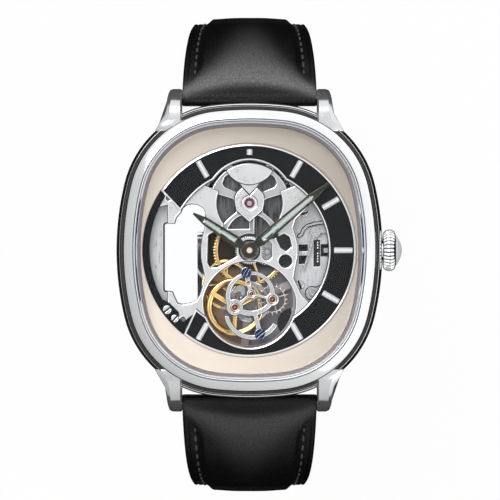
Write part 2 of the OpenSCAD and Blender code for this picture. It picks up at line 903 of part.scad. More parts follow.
module buckle_bar() {
  color("silver")
    translate([-frame_half - frame_t + 0.1, buckle_y, flat_z])
      rotate([0, 90, 0])
        cylinder(r = buckle_bar_r, h = 2 * (frame_half + frame_t - 0.1));
}

// Straight run of the tongue from its bar to its tip, r across and swung out by a turn
tongue_swing = 8;

module tongue_path(r, turn) {
  translate([0, buckle_y, flat_z])
    rotate([turn, 0, 0])
      hull() {
        translate([0, -1.6, -0.5])
          sphere(r = r, $fn = 16);
        translate([0, tongue_tip_y - buckle_y, tongue_tip_z - flat_z])
          sphere(r = r, $fn = 16);
      }
}

module buckle_tongue() {
  color("whitesmoke")
    difference() {
      union() {
        translate([-1.0, buckle_y, flat_z])
          rotate([0, 90, 0])
            cylinder(r = 1.05, h = 2.0);
        hull() {
          translate([0, buckle_y - 0.6, flat_z - 0.2])
            sphere(r = 0.7, $fn = 24);
          translate([0, tongue_tip_y, tongue_tip_z])
            sphere(r = tongue_r, $fn = 24);
        }
      }
      translate([-2, buckle_y, flat_z])
        rotate([0, 90, 0])
          cylinder(r = buckle_bar_r + run_gap, h = 4);
    }
}

module keeper(middle, spread) {
  inner_r = loop_radius - half_strap - keeper_gap;
  outer_r = keeper_outer - keeper_t;
  half_in = strap_end_width / 2 + 0.2;
  translate([0, loop_cy, loop_cz])
    rotate([0, 90, 0])
      rotate([0, 0, 90])
        rotate_extrude(angle = spread, start = middle - spread / 2)
          difference() {
            translate([inner_r - keeper_t, -half_in - keeper_t])
              square([outer_r - inner_r + 2 * keeper_t, 2 * (half_in + keeper_t)]);
            translate([inner_r, -half_in])
              square([outer_r - inner_r, 2 * half_in]);
          }
}

keeper_spread = 10;

module keeper_fixed() {
  color([0.1, 0.1, 0.11])
    keeper(-rest_turn + keeper_spread / 2, keeper_spread);
}

module keeper_free() {
  color([0.1, 0.1, 0.11])
    keeper(-rest_turn + keeper_spread * 2.6, keeper_spread);
}

// Dial

module movement_ring() {
  low = back_t + 0.3;
  color("gray")
    difference() {
      cushion_plate(-wall_inset - fit_gap, low, flange_z);
      post(origin, plate_r + fit_gap, plate_z, flange_z + past);
      post(origin, plate_r - 0.4, low - past, plate_z + past);
      along_stem(plate_r - 2)
        cylinder(r = stem_r + 0.15, h = 10);
    }
}

module dial_flange() {
  color("antiquewhite")
    intersection() {
      cushion_plate(-wall_inset - fit_gap, flange_z, bezel_z);
      rotate_extrude()
        polygon([
          [ring_r + 0.05, flange_z], [ring_r + 0.05, flange_z + 0.25],
          [half_l, flange_z + 1.2], [half_l, flange_z]
        ]);
    }
}

// The ring is open on the left between these cuts, outer and inner corner of each
upper_cut = [149.5, 155.4];
lower_cut = [228.1, 221.7];

// Points of one cut end, from inside the ring to outside it
function gap_side(cut, near, far, widen) =
  let (slope = (cut[1] - cut[0]) / (ring_r - ring_inner_r))
  let (a_near = cut[1] + slope * (ring_inner_r - near) + widen)
  let (a_far = cut[0] - slope * (far - ring_r) + widen)
  [near * [cos(a_near), sin(a_near)], far * [cos(a_far), sin(a_far)]];

module ring_gap(widen) {
  far = ring_r * 1.3;
  near = ring_inner_r * 0.6;
  upper = gap_side(upper_cut, near, far, widen);
  lower = gap_side(lower_cut, near, far, -widen);
  polygon([upper[0], upper[1], [-far, 0], lower[1], lower[0]]);
}

// The ring bulges out over the barrel
bulge_r = 6.5;

// Openings through the ring's inner edge, each with a bevel at the top
module ring_openings(low, high) {
  bevel = 0.15;
  for (hole = [[origin, ring_inner_r], [barrel_at, bulge_r], [cage_at, cage_opening_r]])
    translate([hole[0][0], hole[0][1], 0]) {
      translate([0, 0, low - past])
        cylinder(r = hole[1], h = high - low + 2 * past);
      translate([0, 0, high - bevel])
        cylinder(r1 = hole[1], r2 = hole[1] + bevel * 2, h = bevel * 2);
    }
}

module chapter_ring() {
  bevel = 0.2;
  color([0.12, 0.12, 0.12])
    difference() {
      union() {
        post(origin, ring_r, ring_z, ring_top - bevel);
        translate([0, 0, ring_top - bevel - 0.001])
          cylinder(r1 = ring_r, r2 = ring_r - bevel, h = bevel + 0.001);
      }
      ring_openings(ring_z, ring_top);
      translate([0, 0, ring_z - past])
        linear_extrude(ring_t + 2 * past)
          ring_gap(0);
    }
}

lower_ring_t = 0.25;
band_inner_r = 15.3;
lower_screws_at = [[-12.6, -9.1], [-11.42, -10.45]];

module lower_ring() {
  color([0.12, 0.12, 0.12])
    translate([0, 0, ring_z])
      linear_extrude(lower_ring_t)
        difference() {
          intersection() {
            union() {
              difference() {
                circle(r = ring_r);
                circle(r = band_inner_r);
              }
              difference() {
                circle(r = ring_r);
                polygon([[-20, 3], [-20, -6.5], [-13.1, -7.9], [-10.2, -11], [0, -3], [0, 3]]);
                polygon([[-30, 0], [30, 0], [30, 30], [-30, 30]]);
              }
            }
            ring_gap(0.4);
          }
          for (at = lower_screws_at)
            translate(at)
              circle(r = 0.3);
        }
}

module ring_screws() {
  color("silver")
    for (i = [0, 1])
      slotted_screw(lower_screws_at[i], [0.68, 0.6][i], ring_z + lower_ring_t,
        ring_z + lower_ring_t + 0.25, 0.25, ring_z - 1.0, [35, 48][i]);
}

// Faceted bars at seven hours, and a short one at 12
index_hours = [1, 2, 3, 4, 5, 7, 11];
index_inner_r = 12.95;

module bar_index(length) {
  h = 0.32;
  rotate([90, 0, 90])
    linear_extrude(length)
      polygon([
        [-index_w / 2, 0], [index_w / 2, 0], [index_w / 2, h * 0.5], [index_w * 0.22, h],
        [-index_w * 0.22, h], [-index_w / 2, h * 0.5]
      ]);
}

module hour_indices() {
  color("white")
    translate([0, 0, ring_top]) {
      for (hour = index_hours)
        rotate([0, 0, 90 - 30 * hour])
          translate([index_inner_r, 0, 0])
            bar_index(index_length);
      rotate([0, 0, 90])
        translate([14.6, 0, 0])
          bar_index(index_length * 0.37);
    }
}

// Hands

module hand_blade(length, boss_r, low) {
  neck = boss_r * 0.9;
  translate([0, 0, low])
    linear_extrude(hand_t)
      union() {
        circle(r = boss_r);
        polygon([
          [neck, -hand_w * 0.42], [neck + 1.2, -hand_w / 2], [length * 0.78, -hand_w * 0.36],
          [length - 0.1, -0.1], [length - 0.1, 0.1], [length * 0.78, hand_w * 0.36],
          [neck + 1.2, hand_w / 2], [neck, hand_w * 0.42], [0, hand_w * 0.42], [0, -hand_w * 0.42]
        ]);
      }
}

// Lume slot of a hand: from its neck to three quarters of its length
module lume_slot(length, start, spare) {
  w = hand_w * 0.24 + spare;
  end = length * 0.8;
  polygon([[start - spare, -w], [end + spare, -w * 0.62], [end + spare, w * 0.62], [start - spare, w]]);
}

lume_start = 2.6;
pipe_r = 0.62;

module hour_hand() {
  color([0.2, 0.21, 0.18])
    rotate([0, 0, 90 - hour_turn])
      difference() {
        hand_blade(hour_length, 1.25, hour_hand_z);
        translate([0, 0, hour_hand_z - past])
          linear_extrude(1.5)
            lume_slot(hour_length, lume_start, fit_gap);
        post(origin, pipe_r + 0.22 + fit_gap, hour_hand_z - past, hour_hand_z + 1);
      }
}

module hour_lume() {
  color([0.8, 0.95, 0.85])
    rotate([0, 0, 90 - hour_turn])
      translate([0, 0, hour_hand_z + 0.01])
        linear_extrude(hand_t - 0.02)
          lume_slot(hour_length, lume_start, 0);
}

module minute_hand() {
  color([0.2, 0.21, 0.18])
    rotate([0, 0, 90 - minute_turn])
      difference() {
        hand_blade(minute_length, 1.15, minute_hand_z);
        translate([0, 0, minute_hand_z - past])
          linear_extrude(1.5)
            lume_slot(minute_length, lume_start, fit_gap);
        post(origin, 0.42 + fit_gap, minute_hand_z - past, minute_hand_z + 1);
      }
}

module minute_lume() {
  color([0.8, 0.95, 0.85])
    rotate([0, 0, 90 - minute_turn])
      translate([0, 0, minute_hand_z + 0.01])
        linear_extrude(hand_t - 0.02)
          lume_slot(minute_length, lume_start, 0);
}

// Plates and bridges

// See-through window on the left, the keyless field on the right
left_window = [
  [-13.05, 4.1], [-11.45, 4.1], [-11.2, 5.0], [-10.5, 5.8], [-10.2, 6.5], [-9.6, 6.95], [-8.9, 7.1], [-8.0, 7.0],
  [-7.1, 6.5], [-6.8, 5.8], [-6.9, 3.4], [-7.3, 2.0], [-7.5, 0.3], [-7.45, -1.3], [-7.15, -2.8], [-6.85, -4.1],
  [-7.2, -5.4], [-7.7, -6.9], [-8.2, -7.7], [-8.9, -8.0], [-10.2, -8.25], [-11.0, -8.1], [-11.45, -7.2],
  [-11.8, -6.3], [-13.05, -6.2]
];
right_field = [
  [9.9, 7.6], [7.1, 4.7], [6.7, 3.4], [7.1, 2.3], [7.45, 0.8], [7.45, -0.8], [7.0, -3.0], [6.8, -4.2], [7.9, -6.6],
  [9.1, -8.0], [11.5, -9.6], [15.8, -6], [17, 0], [15.8, 6], [12.5, 9.4]
];
wheel_window = [
  [-6.3, 2.3], [-5.4, 2.8], [-3.6, 1.9], [-2.0, 0.9], [-2.0, -0.9], [-4.8, -2.5], [-6.0, -2.6], [-6.4, -1.9]
];

module rounded(points, r) {
  offset(r = r)
    offset(delta = -r)
      polygon(points);
}

module wedge(at, r, from, to) {
  translate(at)
    polygon(concat([[0, 0]], [for (i = [0 : 6]) let (a = from + (to - from) * i / 6) [r * cos(a), r * sin(a)]]));
}

// Slots of the keyless works: left, front, width and length
keyless_slots = [[10.05, -2.3, 0.6, 3.7], [7.75, 0.05, 1.0, 0.65], [7.75, -1.9, 0.85, 0.9]];
barrel_pocket_r = 6.65;
centre_arbor_r = 0.3;
well_r = cage_opening_r + 0.4;
stud_r = 1.0;
pillar_places = [[-12.0, -9.0], [0, 14.9], [12.3, 8.3], [11.4, -9.6], [-12.0, 8.9]];

module main_plate() {
  color("darkgray") {
    difference() {
      post(origin, plate_r, plate_z, ring_z);
      post(origin, plate_r - 0.75, plate_top, ring_z + past);
      // See-through window, wheel window, barrel pocket and the tourbillon's well
      translate([0, 0, plate_z - past])
        linear_extrude(plate_t + 2 * past) {
          rounded(left_window, 0.3);
          rounded(wheel_window, 0.3);
          for (slot = keyless_slots)
            translate([slot[0], slot[1]])
              square([slot[2], slot[3]]);
        }
      post(barrel_at, barrel_pocket_r, plate_z - past, plate_top + past);
      post(cage_at, well_r, plate_z + seat_t, plate_top + 1);
      difference() {
        post(cage_at, well_r - 0.6, plate_z - past, plate_top);
        post(cage_at, 2.7, plate_z - past, plate_top);
        // One of the three spokes bears the third arbor
        for (i = [0 : 2])
          rotate_about(cage_at, bearing(cage_at, third_at) + 120 * i)
            translate([cage_at[0], cage_at[1] - 0.6, plate_z - past])
              cube([8, 1.2, plate_t]);
      }
      post(cage_at, 0.9, plate_z - past, plate_top);
      // Pocket of the centre pinion, and the centre arbor's hole
      post(origin, centre_pinion_pitch + 0.28, plate_z - past, plate_z + 0.5);
      post(origin, centre_arbor_r + 0.05, plate_z - past, plate_top + past);
      post(third_at, 0.2 + run_gap, plate_z - past, plate_top);
      // Channel of the stem and pocket of the winding pinion
      along_stem(stem_inner_x - 0.3)
        cylinder(r = stem_r + 0.2, h = 10);
      translate([winding_x - 0.7, -1.35, plate_z - past])
        cube([1.8, 2.7, 3]);
    }
    // Stud of the minute wheel, pivots of the setting lever and the crown wheel
    post(minute_wheel_at, 0.25, plate_top - 0.01, hour_wheel_z + 0.2);
    post(lever_at, 0.45, plate_top - 0.01, lever_z + 0.4);
    post(crown_wheel_at, stud_r, wind_z, plate_z + 0.01);
  }
}

waist_top = 1.85;
waist_low = -1.7;

module bridge_outline() {
  difference() {
    circle(r = plate_r - 0.8);
    rounded(left_window, 0.3);
    polygon([[-20, 5.2], [-12.6, 6.9], [-12.6, -8.2], [-20, -11]]);
    rounded(right_field, 0.4);
    rounded(wheel_window, 0.3);
    translate(barrel_at)
      circle(r = 5.0);
    wedge(barrel_at, 12, 22, 158);
    // Arch of the barrel bridge shows above the waist
    intersection() {
      translate([0, 2.0])
        circle(r = 4.35);
      translate([-5, waist_top])
        square([10, 6]);
    }
    intersection() {
      translate(cage_at)
        circle(r = cage_opening_r + 0.15);
      translate([0, waist_low - 7.2])
        circle(r = 7.2);
    }
    circle(r = 1.45);
    // Three sight holes over the motion work
    hull() {
      translate([2.65, 0.75])
        circle(r = 0.72, $fn = 32);
      translate([2.65, -0.75])
        circle(r = 0.72, $fn = 32);
    }
    rounded([[4.1, 1.9], [5.3, 2.5], [6.1, 2.0], [6.4, 0.6], [5.6, -0.1], [4.8, 0.4]], 0.25);
    translate([5.5, -1.65])
      circle(r = 0.95);
  }
}

module centre_bridge() {
  color("gainsboro") {
    difference() {
      union() {
        translate([0, 0, front_z])
          linear_extrude(front_t)
            bridge_outline();
        for (at = front_feet)
          post(at, 0.9, plate_top, front_z + 0.01);
      }
      for (at = front_feet)
        post(at, 0.35, front_z - 1, front_top + past);
      for (at = lower_screws_at)
        post(at, 0.3, front_z - past, front_top + past);
    }
  }
}

front_feet = [[-12.4, 8.0], [-10.2, -10.6], [10.4, 9.9], [11.0, -9.9]];

// Windows of the barrel bridge: slots beside the cap, openings over the drum
upper_slot = [[-4.1, 10.3], [-3.75, 11.2], [-3.2, 11.6], [-1.2, 9.9], [-1.3, 9.2], [-1.75, 8.9], [-3.8, 9.75]];
side_opening = [
  [-5.3, 8.6], [-4.75, 8.5], [-2.5, 7.8], [-2.3, 7.3], [-2.1, 6.3], [-2.15, 5.85], [-3.4, 4.8], [-4.2, 3.9],
  [-5.0, 4.2], [-5.4, 6.2], [-5.5, 7.6]
];
arch_r = 3.5;
arm_at = 0.35;
arm_w = 0.95;

module spider_outline() {
  difference() {
    translate(barrel_at)
      circle(r = 6.2);
    for (mx = [0, 1])
      mirror([mx, 0]) {
        rounded(upper_slot, 0.25);
        rounded(side_opening, 0.2);
      }
    // Two openings under the arch, with the upright arm between them and a shelf below
    difference() {
      translate([0, 2.0])
        circle(r = arch_r);
      translate([arm_at - arm_w / 2, 0])
        square([arm_w, 6]);
      translate([-4, waist_top - 1])
        square([4, 2.5]);
      translate(barrel_at)
        polygon(boss);
    }
    circle(r = hour_pitch + 0.35);
  }
}

boss = [
  [-1.12, 2.5], [-2.05, 1.6], [-2.35, 0.9], [-2.3, 0.1], [-2.06, -1.1], [0, -2.95], [2.06, -1.1],
  [2.3, 0.1], [2.35, 0.9], [2.05, 1.6], [1.12, 2.5], [0.05, 1.28], [-0.05, 1.28]
];

module barrel_bridge() {
  color("lightgray")
    difference() {
      union() {
        translate([0, 0, spider_z])
          linear_extrude(spider_t)
            spider_outline();
        translate([barrel_at[0], barrel_at[1], spider_z + spider_t - 0.01])
          linear_extrude(0.45)
            offset(r = 0.1)
              offset(delta = -0.1)
                polygon(boss);
        for (turn = [60, 120])
          rotate_about(barrel_at, turn)
            post(barrel_at + [7.2, 0], 0.7, plate_top, spider_z + spider_t);
        for (turn = [60, 120])
          rotate_about(barrel_at, turn)
            translate([barrel_at[0] + 5.8, barrel_at[1] - 0.7, spider_z])
              cube([1.4, 1.4, spider_t]);
      }
      post(barrel_at, jewel_seat_r, spider_z - past, spider_z + 2);
    }
}

jewel_seat_r = 0.98;

cap_tip_y = 8.65;

module cap_lens() {
  intersection() {
    translate(barrel_at)
      circle(r = bulge_r - 0.3);
    translate([0, 14.13])
      circle(r = 4.13);
  }
}

module barrel_cap() {
  color("whitesmoke")
    difference() {
      translate([0, 0, front_z])
        linear_extrude(0.5) {
          cap_lens();
          polygon([[-1.45, 10.2], [-1.15, 9.85], [0, cap_tip_y], [1.15, 9.85], [1.45, 10.2]]);
        }
      // The tab lies a step lower than the lens
      translate([0, 0, front_z + 0.3])
        linear_extrude(1)
          difference() {
            translate([-2, 8])
              square([4, 3]);
            cap_lens();
          }
    }
}

module train_bridge() {
  color("silver") {
    difference() {
      union() {
        post(origin, 15.4, bridge_z, bridge_z + bridge_t);
        for (at = pillar_places)
          post(at, 1.1, bridge_z + bridge_t - 0.01, plate_z);
      }
      translate([0, 0, bridge_z - past])
        linear_extrude(bridge_t + 2 * past)
          rounded(left_window, 0.3);
      // Lightening holes, and room for the crown wheel's face teeth
      post(crown_wheel_at, contrate_pitch + 0.6, bridge_z - past, bridge_z + 1);
      post([-6.9, 12.0], 1.6, bridge_z - past, bridge_z + 1);
      post([6.6, -11.2], 2.3, bridge_z - past, bridge_z + 1);
      post([-6.8, -11.4], 2.0, bridge_z - past, bridge_z + 1);
      post([6.6, 11.8], 2.0, bridge_z - past, bridge_z + 1);
      post(barrel_at, 0.6 + run_gap, bridge_z - past, bridge_z + 1);
      for (at = rear_jewels_at)
        post(at, 0.55 + fit_gap, bridge_z - past, bridge_z + 1);
      for (at = pillar_places)
        post(at, 0.3 + fit_gap, bridge_z - past, plate_z + past);
    }
    // Stud of the click
    post(click_at, 0.4, wind_z, bridge_z + 0.01);
  }
}

rear_jewels_at = [[0, 0], third_at, cage_at];
pivot_r = 0.15;
jewel_gap = 0.02;

module jewels() {
  color([0.72, 0.1, 0.38]) {
    for (at = rear_jewels_at)
      sleeve(at, 0.55, pivot_r + jewel_gap, bridge_z, bridge_z + 0.4);
    difference() {
      sleeve(barrel_at, jewel_seat_r - fit_gap, 0.35 + jewel_gap, spider_z, spider_z + 0.8);
    }
  }
}

module bridge_screws() {
  color("lightgray") {
    for (at = pillar_places)
      rotate_about(at, 0)
        difference() {
          union() {
            post(at, 0.75, bridge_z - 0.3, bridge_z);
            post(at, 0.3, bridge_z - 0.01, plate_z - 0.3);
          }
          translate([at[0], at[1], bridge_z - 0.3])
            cube([3, 0.22, 0.3], center = true);
        }
    slotted_screw([8.4, 5.7], 0.6, plate_top, plate_top + 0.25, 0.25, plate_top - 0.01, 20);
    slotted_screw([7.7, -5.3], 0.7, plate_top, plate_top + 0.25, 0.25, plate_top - 0.01, 110);
  }
}

// Barrel and train

drum_floor = 0.25;
drum_cover = 0.2;
drum_play = 0.05;

module barrel_drum() {
  teeth_h = 0.35;
  wall = 0.4;
  color("dimgray")
    difference() {
      union() {
        toothed_disc(barrel_at, barrel_teeth, barrel_pitch,
          tooth_to(bearing(barrel_at, origin)), plate_z, plate_z + teeth_h);
        post(barrel_at, 5.6, plate_z + teeth_h - 0.01, barrel_top);
      }
      post(barrel_at, 5.6 - wall, plate_z + drum_floor, barrel_top - drum_cover);
      post(barrel_at, 1.2 + run_gap, plate_z - past, barrel_top + past);
    }
}

module mainspring() {
  steps = mainspring_turns * 20;
  inner = 1.9;
  outer = 4.95;
  half = 0.11;
  function wind(i, side) =
    let (t = i / steps, r = inner + (outer - inner) * t + side * half, a = 360 * mainspring_turns * t)
    [r * cos(a), r * sin(a)];
  color("steelblue")
    translate([barrel_at[0], barrel_at[1], plate_z + drum_floor + drum_play])
      linear_extrude(barrel_h - drum_floor - drum_cover - 2 * drum_play)
        polygon(concat(
          [for (i = [0 : steps]) wind(i, 1)],
          [for (i = [steps : -1 : 0]) wind(i, -1)]
        ));
}

module centre_wheel() {
  color("goldenrod") {
    spoked_gear(origin, centre_teeth, centre_pitch, tooth_to(bearing(origin, third_at)),
      centre_z, centre_z + wheel_t, 0.75, 5, 1.2, 0.55);
    toothed_disc(origin, centre_pinion_teeth, centre_pinion_pitch,
      gap_to(bearing(origin, barrel_at), centre_pinion_teeth), centre_z + wheel_t - 0.01, plate_z + 0.4);
    post(origin, pivot_r, bridge_z + 0.05, centre_z + 0.01);
    post(origin, 0.4, bridge_z + bridge_t + 0.05, centre_z + 0.01);
    post(origin, centre_arbor_r, plate_z + 0.39, plate_top - 0.05);
  }
}

module third_wheel() {
  color("goldenrod") {
    spoked_gear(third_at, third_teeth, third_pitch, tooth_to(bearing(third_at, cage_at)),
      third_z, third_z + wheel_t, 0.6, 4, 0.9, 0.45);
    toothed_disc(third_at, third_pinion_teeth, third_pinion_pitch,
      gap_to(bearing(third_at, origin), third_pinion_teeth), third_z + wheel_t - 0.01, plate_z - 0.05);
    post(third_at, pivot_r, bridge_z + 0.05, third_z + 0.01);
    post(third_at, 0.2, plate_z - 0.06, fixed_z - 0.03);
  }
}

module cannon_pinion() {
  color("tan")
    difference() {
      union() {
        toothed_disc(origin, cannon_teeth, cannon_pitch,
          tooth_to(bearing(origin, minute_wheel_at)), minute_wheel_z, minute_wheel_z + 0.25);
        post(origin, 0.42, plate_top + 0.05, minute_hand_z + hand_t + 0.12);
      }
    }
}

module minute_wheel() {
  color("lightgray")
    difference() {
      union() {
        toothed_disc(minute_wheel_at, minute_wheel_teeth, minute_wheel_pitch,
          gap_to(bearing(minute_wheel_at, origin), minute_wheel_teeth), minute_wheel_z, minute_wheel_z + 0.2);
        toothed_disc(minute_wheel_at, minute_pinion_teeth, minute_pinion_pitch,
          tooth_to(bearing(minute_wheel_at, origin)), minute_wheel_z + 0.19, hour_wheel_z + 0.2);
      }
      post(minute_wheel_at, 0.25 + run_gap, minute_wheel_z - past, hour_wheel_z + 1);
    }
}

module hour_wheel() {
  color("lightgray")
    difference() {
      union() {
        toothed_disc(origin, hour_teeth, hour_pitch,
          gap_to(bearing(origin, minute_wheel_at), hour_teeth), hour_wheel_z, hour_wheel_z + 0.2);
        post(origin, pipe_r + 0.22, hour_wheel_z, hour_hand_z + hand_t + 0.05);
      }
      post(origin, 0.42 + run_gap, hour_wheel_z - past, hour_hand_z + 1);
    }
}

// Tourbillon

module fixed_wheel() {
  color("silver")
    difference() {
      toothed_disc(cage_at, fixed_teeth, fixed_pitch,
        tooth_to(bearing(cage_at, escape_at)), fixed_z, fixed_z + fixed_t);
      post(cage_at, 1.2, fixed_z - past, fixed_z + 1);
      for (i = [0 : 5])
        rotate_about(cage_at, 60 * i + 30)
          post(cage_at + [2.0, 0], 0.45, fixed_z - past, fixed_z + 1);
    }
}

// A straight rib with round ends
module strut(a, b, w) {
  translate(a) {
    circle(r = w / 2);
    rotate(bearing(a, b))
      translate([0, -w * 0.47])
        square([between(a, b), w * 0.94]);
  }
  translate(b)
    circle(r = w / 2);
}

// A curved rib round a centre, with its own width at each end
module curved_rib(at, r, from, to, w_from, w_to) {
  steps = 14;
  function rib(i, side) =
    let (t = i / steps, a = from + (to - from) * t, q = r + side * (w_from + (w_to - w_from) * t) / 2)
    [at[0] + q * cos(a), at[1] + q * sin(a)];
  polygon(concat([for (i = [0 : steps]) rib(i, 1)], [for (i = [steps : -1 : 0]) rib(i, -1)]));
}

module cage_base() {
  color("silver")
    difference() {
      union() {
        translate([cage_at[0], cage_at[1], cage_z])
          linear_extrude(cage_t)
            union() {
              circle(r = 1.3);
              strut([0, 0], balance_off, 1.3);
              strut([0, 0], escape_off, 1.1);
              strut([0, 0], pillar_off[0], 1.1);
              strut([0, 0], pillar_off[1], 1.1);
              translate(balance_off)
                circle(r = 0.95);
              translate(escape_off)
                circle(r = 0.8);
              for (off = pillar_off)
                translate(off)
                  circle(r = 0.85);
            }
        // Shaft through the fixed wheel, with the cage pinion on it
        post(cage_at, 0.75, third_z + wheel_t + 0.05, cage_z + 0.01);
        toothed_disc(cage_at, cage_pinion_teeth, cage_pinion_pitch,
          gap_to(bearing(cage_at, third_at), cage_pinion_teeth), third_z - 0.1, third_z + wheel_t + 0.06);
        post(cage_at, pivot_r, bridge_z + 0.05, third_z);
        for (off = pillar_off)
          post(cage_at + off, 0.6, cage_z + cage_t - 0.01, cage_bridge_z);
      }
      post(balance_at, 0.45 + fit_gap, cage_z - past, cage_z + 1);
      post(escape_at, 0.45 + fit_gap, cage_z - past, cage_z + 1);
      for (off = pillar_off)
        post(cage_at + off, 0.25 + fit_gap, cage_bridge_z - 0.8, cage_bridge_z + 1);
    }
}

loop_off = [-0.18, 2.85];

// Upper bridge of the cage: a boss at each jewel and pillar, joined by curved ribs
module cage_bridge() {
  color("whitesmoke")
    difference() {
      translate([cage_at[0], cage_at[1], cage_bridge_z])
        linear_extrude(cage_bridge_t) {
          translate(balance_off)
            circle(r = 1.3);
          translate(escape_off)
            circle(r = 1.05);
          translate(pallet_off)
            circle(r = 0.75);
          for (off = pillar_off)
            translate(off)
              circle(r = 0.85);
          // Band below the two large jewels, and the crescent past the lower pillar
          curved_rib([0.2, 2.0], 3.75, 228, 326, 1.0, 0.8);
          curved_rib([0.45, -1.4], 4.05, 190, 331, 0.75, 0.85);
          strut([0.9, -1.9], pillar_off[1], 0.85);
          // Oval loop below the upper pillar
          difference() {
            union() {
              strut(pillar_off[0], loop_off, 0.9);
              strut(loop_off, pallet_off, 0.8);
            }
            translate(loop_off)
              circle(r = 0.26);
          }
          // Curved ribs from the jewels up to the upper pillar
          strut(pallet_off, balance_off, 0.6);
          strut(pallet_off, escape_off, 0.55);
          curved_rib([0.05, 0.9], 3.35, 93, 205, 0.6, 0.9);
          curved_rib([0.35, 1.2], 3.2, 344, 462, 0.85, 0.6);
        }
      post(balance_at, 0.62 + fit_gap, cage_bridge_z - past, cage_top + past);
      post(escape_at, 0.62 + fit_gap, cage_bridge_z - past, cage_top + past);
      post(pallet_at, 0.45 + fit_gap, cage_bridge_z - past, cage_top + past);
      for (off = pillar_off)
        post(cage_at + off, 0.25 + fit_gap, cage_bridge_z - past, cage_top + past);
    }
}

module cage_screws() {
  color("royalblue")
    for (i = [0, 1])
      slotted_screw(cage_at + pillar_off[i], 0.68, cage_top, cage_top + 0.22, 0.25, cage_bridge_z - 0.7, [62, 40][i]);
}

module cage_chatons() {
  color("gold") {
    for (at = [balance_at, escape_at])
      sleeve(at, 0.62, 0.42 + fit_gap, cage_bridge_z, cage_top + 0.1);
    sleeve(pallet_at, 0.45, 0.28 + fit_gap, cage_bridge_z, cage_top + 0.1);
  }
}

module cage_rubies() {
  color([0.75, 0.08, 0.35]) {
    for (at = [balance_at, escape_at])
      sleeve(at, 0.42, 0.1 + jewel_gap, cage_bridge_z, cage_top + 0.05);
    sleeve(pallet_at, 0.28, 0.08 + jewel_gap, cage_bridge_z, cage_top + 0.05);
    for (at = [balance_at, escape_at])
      sleeve(at, 0.45, 0.1 + jewel_gap, cage_z, cage_z + cage_t);
  }
}

module balance_wheel() {
  rim = 0.5;
  color("gold") {
    difference() {
      translate([balance_at[0], balance_at[1], balance_z])
        linear_extrude(balance_t)
          union() {
            difference() {
              circle(r = balance_r);
              circle(r = balance_r - rim);
            }
            for (turn = [28, 148, 268])
              rotate(turn)
                translate([0, -0.4])
                  square([balance_r - rim / 2, 0.8]);
            circle(r = 0.9);
          }
    }
    // Staff, roller and its jewel pin
    post(balance_at, 0.1, cage_z + 0.02, cage_top);
    post(balance_at, 0.3, cage_z + cage_t + 0.05, cage_bridge_z - 0.05);
    post(balance_at, 0.75, roller_z, roller_z + roller_t);
  }
}

module hairspring() {
  steps = spring_turns * 24;
  inner = 0.55;
  outer = 2.25;
  half = 0.035;
  function coil(i, side) =
    let (t = i / steps, r = inner + (outer - inner) * t + side * half, a = 360 * spring_turns * t + 40)
    [r * cos(a), r * sin(a)];
  color("lightsteelblue")
    translate([balance_at[0], balance_at[1], spring_z])
      linear_extrude(spring_t)
        polygon(concat(
          [for (i = [0 : steps]) coil(i, 1)],
          [for (i = [steps : -1 : 0]) coil(i, -1)]
        ));
}

fork_turn = bearing(pallet_at, balance_at);
escape_turn = bearing(pallet_at, escape_at);

module pallet_fork() {
  reach = between(pallet_at, balance_at) - 1.0;
  color("silver") {
    translate([pallet_at[0], pallet_at[1], fork_z])
      linear_extrude(fork_t)
        difference() {
          union() {
            circle(r = 0.42);
            rotate(fork_turn)
              difference() {
                polygon([[0, 0.22], [reach - 0.5, 0.14], [reach, 0.42], [reach, -0.42], [reach - 0.5, -0.14], [0, -0.22]]);
                translate([reach - 0.3, -0.13])
                  square([1, 0.26]);
              }
            for (side = [-1, 1])
              rotate(escape_turn + side * 62)
                polygon([[0, 0.2], [1.15, 0.24], [1.15, -0.16], [0, -0.2]]);
          }
          circle(r = 0.12);
        }
    post(pallet_at, 0.15, fork_z - 0.15, cage_bridge_z - 0.03);
    post(pallet_at, 0.08, cage_bridge_z - 0.04, cage_top);
  }
}

module pallet_stones() {
  color("crimson")
    translate([pallet_at[0], pallet_at[1], fork_z])
      linear_extrude(fork_t)
        for (side = [-1, 1])
          rotate(escape_turn + side * 62)
            translate([1.17, -0.12])
              rotate(-side * 20)
                square([0.22, 0.26]);
}

module escape_wheel() {
  step = 360 / escape_teeth;
  rim = escape_r * 0.8;
  color([0.85, 0.72, 0.66])
    translate([escape_at[0], escape_at[1], fork_z])
      linear_extrude(fork_t)
        difference() {
          polygon([for (i = [0 : escape_teeth - 1], c = [[rim, -0.3], [escape_r, 0.06], [escape_r, 0.16], [rim, 0.2]])
            let (a = step * (i + c[1])) [c[0] * cos(a), c[0] * sin(a)]]);
          difference() {
            circle(r = rim - 0.22);
            circle(r = 0.55);
            for (i = [0 : 3])
              rotate(90 * i + 20)
                translate([0, -0.12])
                  square([rim, 0.24]);
          }
          circle(r = 0.2 + fit_gap);
        }
}

module escape_pinion() {
  low = fixed_z + 0.05;
  color("gray") {
    toothed_disc(escape_at, escape_pinion_teeth, escape_pinion_pitch,
      gap_to(bearing(escape_at, cage_at), escape_pinion_teeth), low, cage_z - 0.03);
    post(escape_at, 0.1, cage_z - 0.04, cage_top);
    post(escape_at, 0.2, cage_z + cage_t + 0.05, cage_bridge_z - 0.05);
  }
}

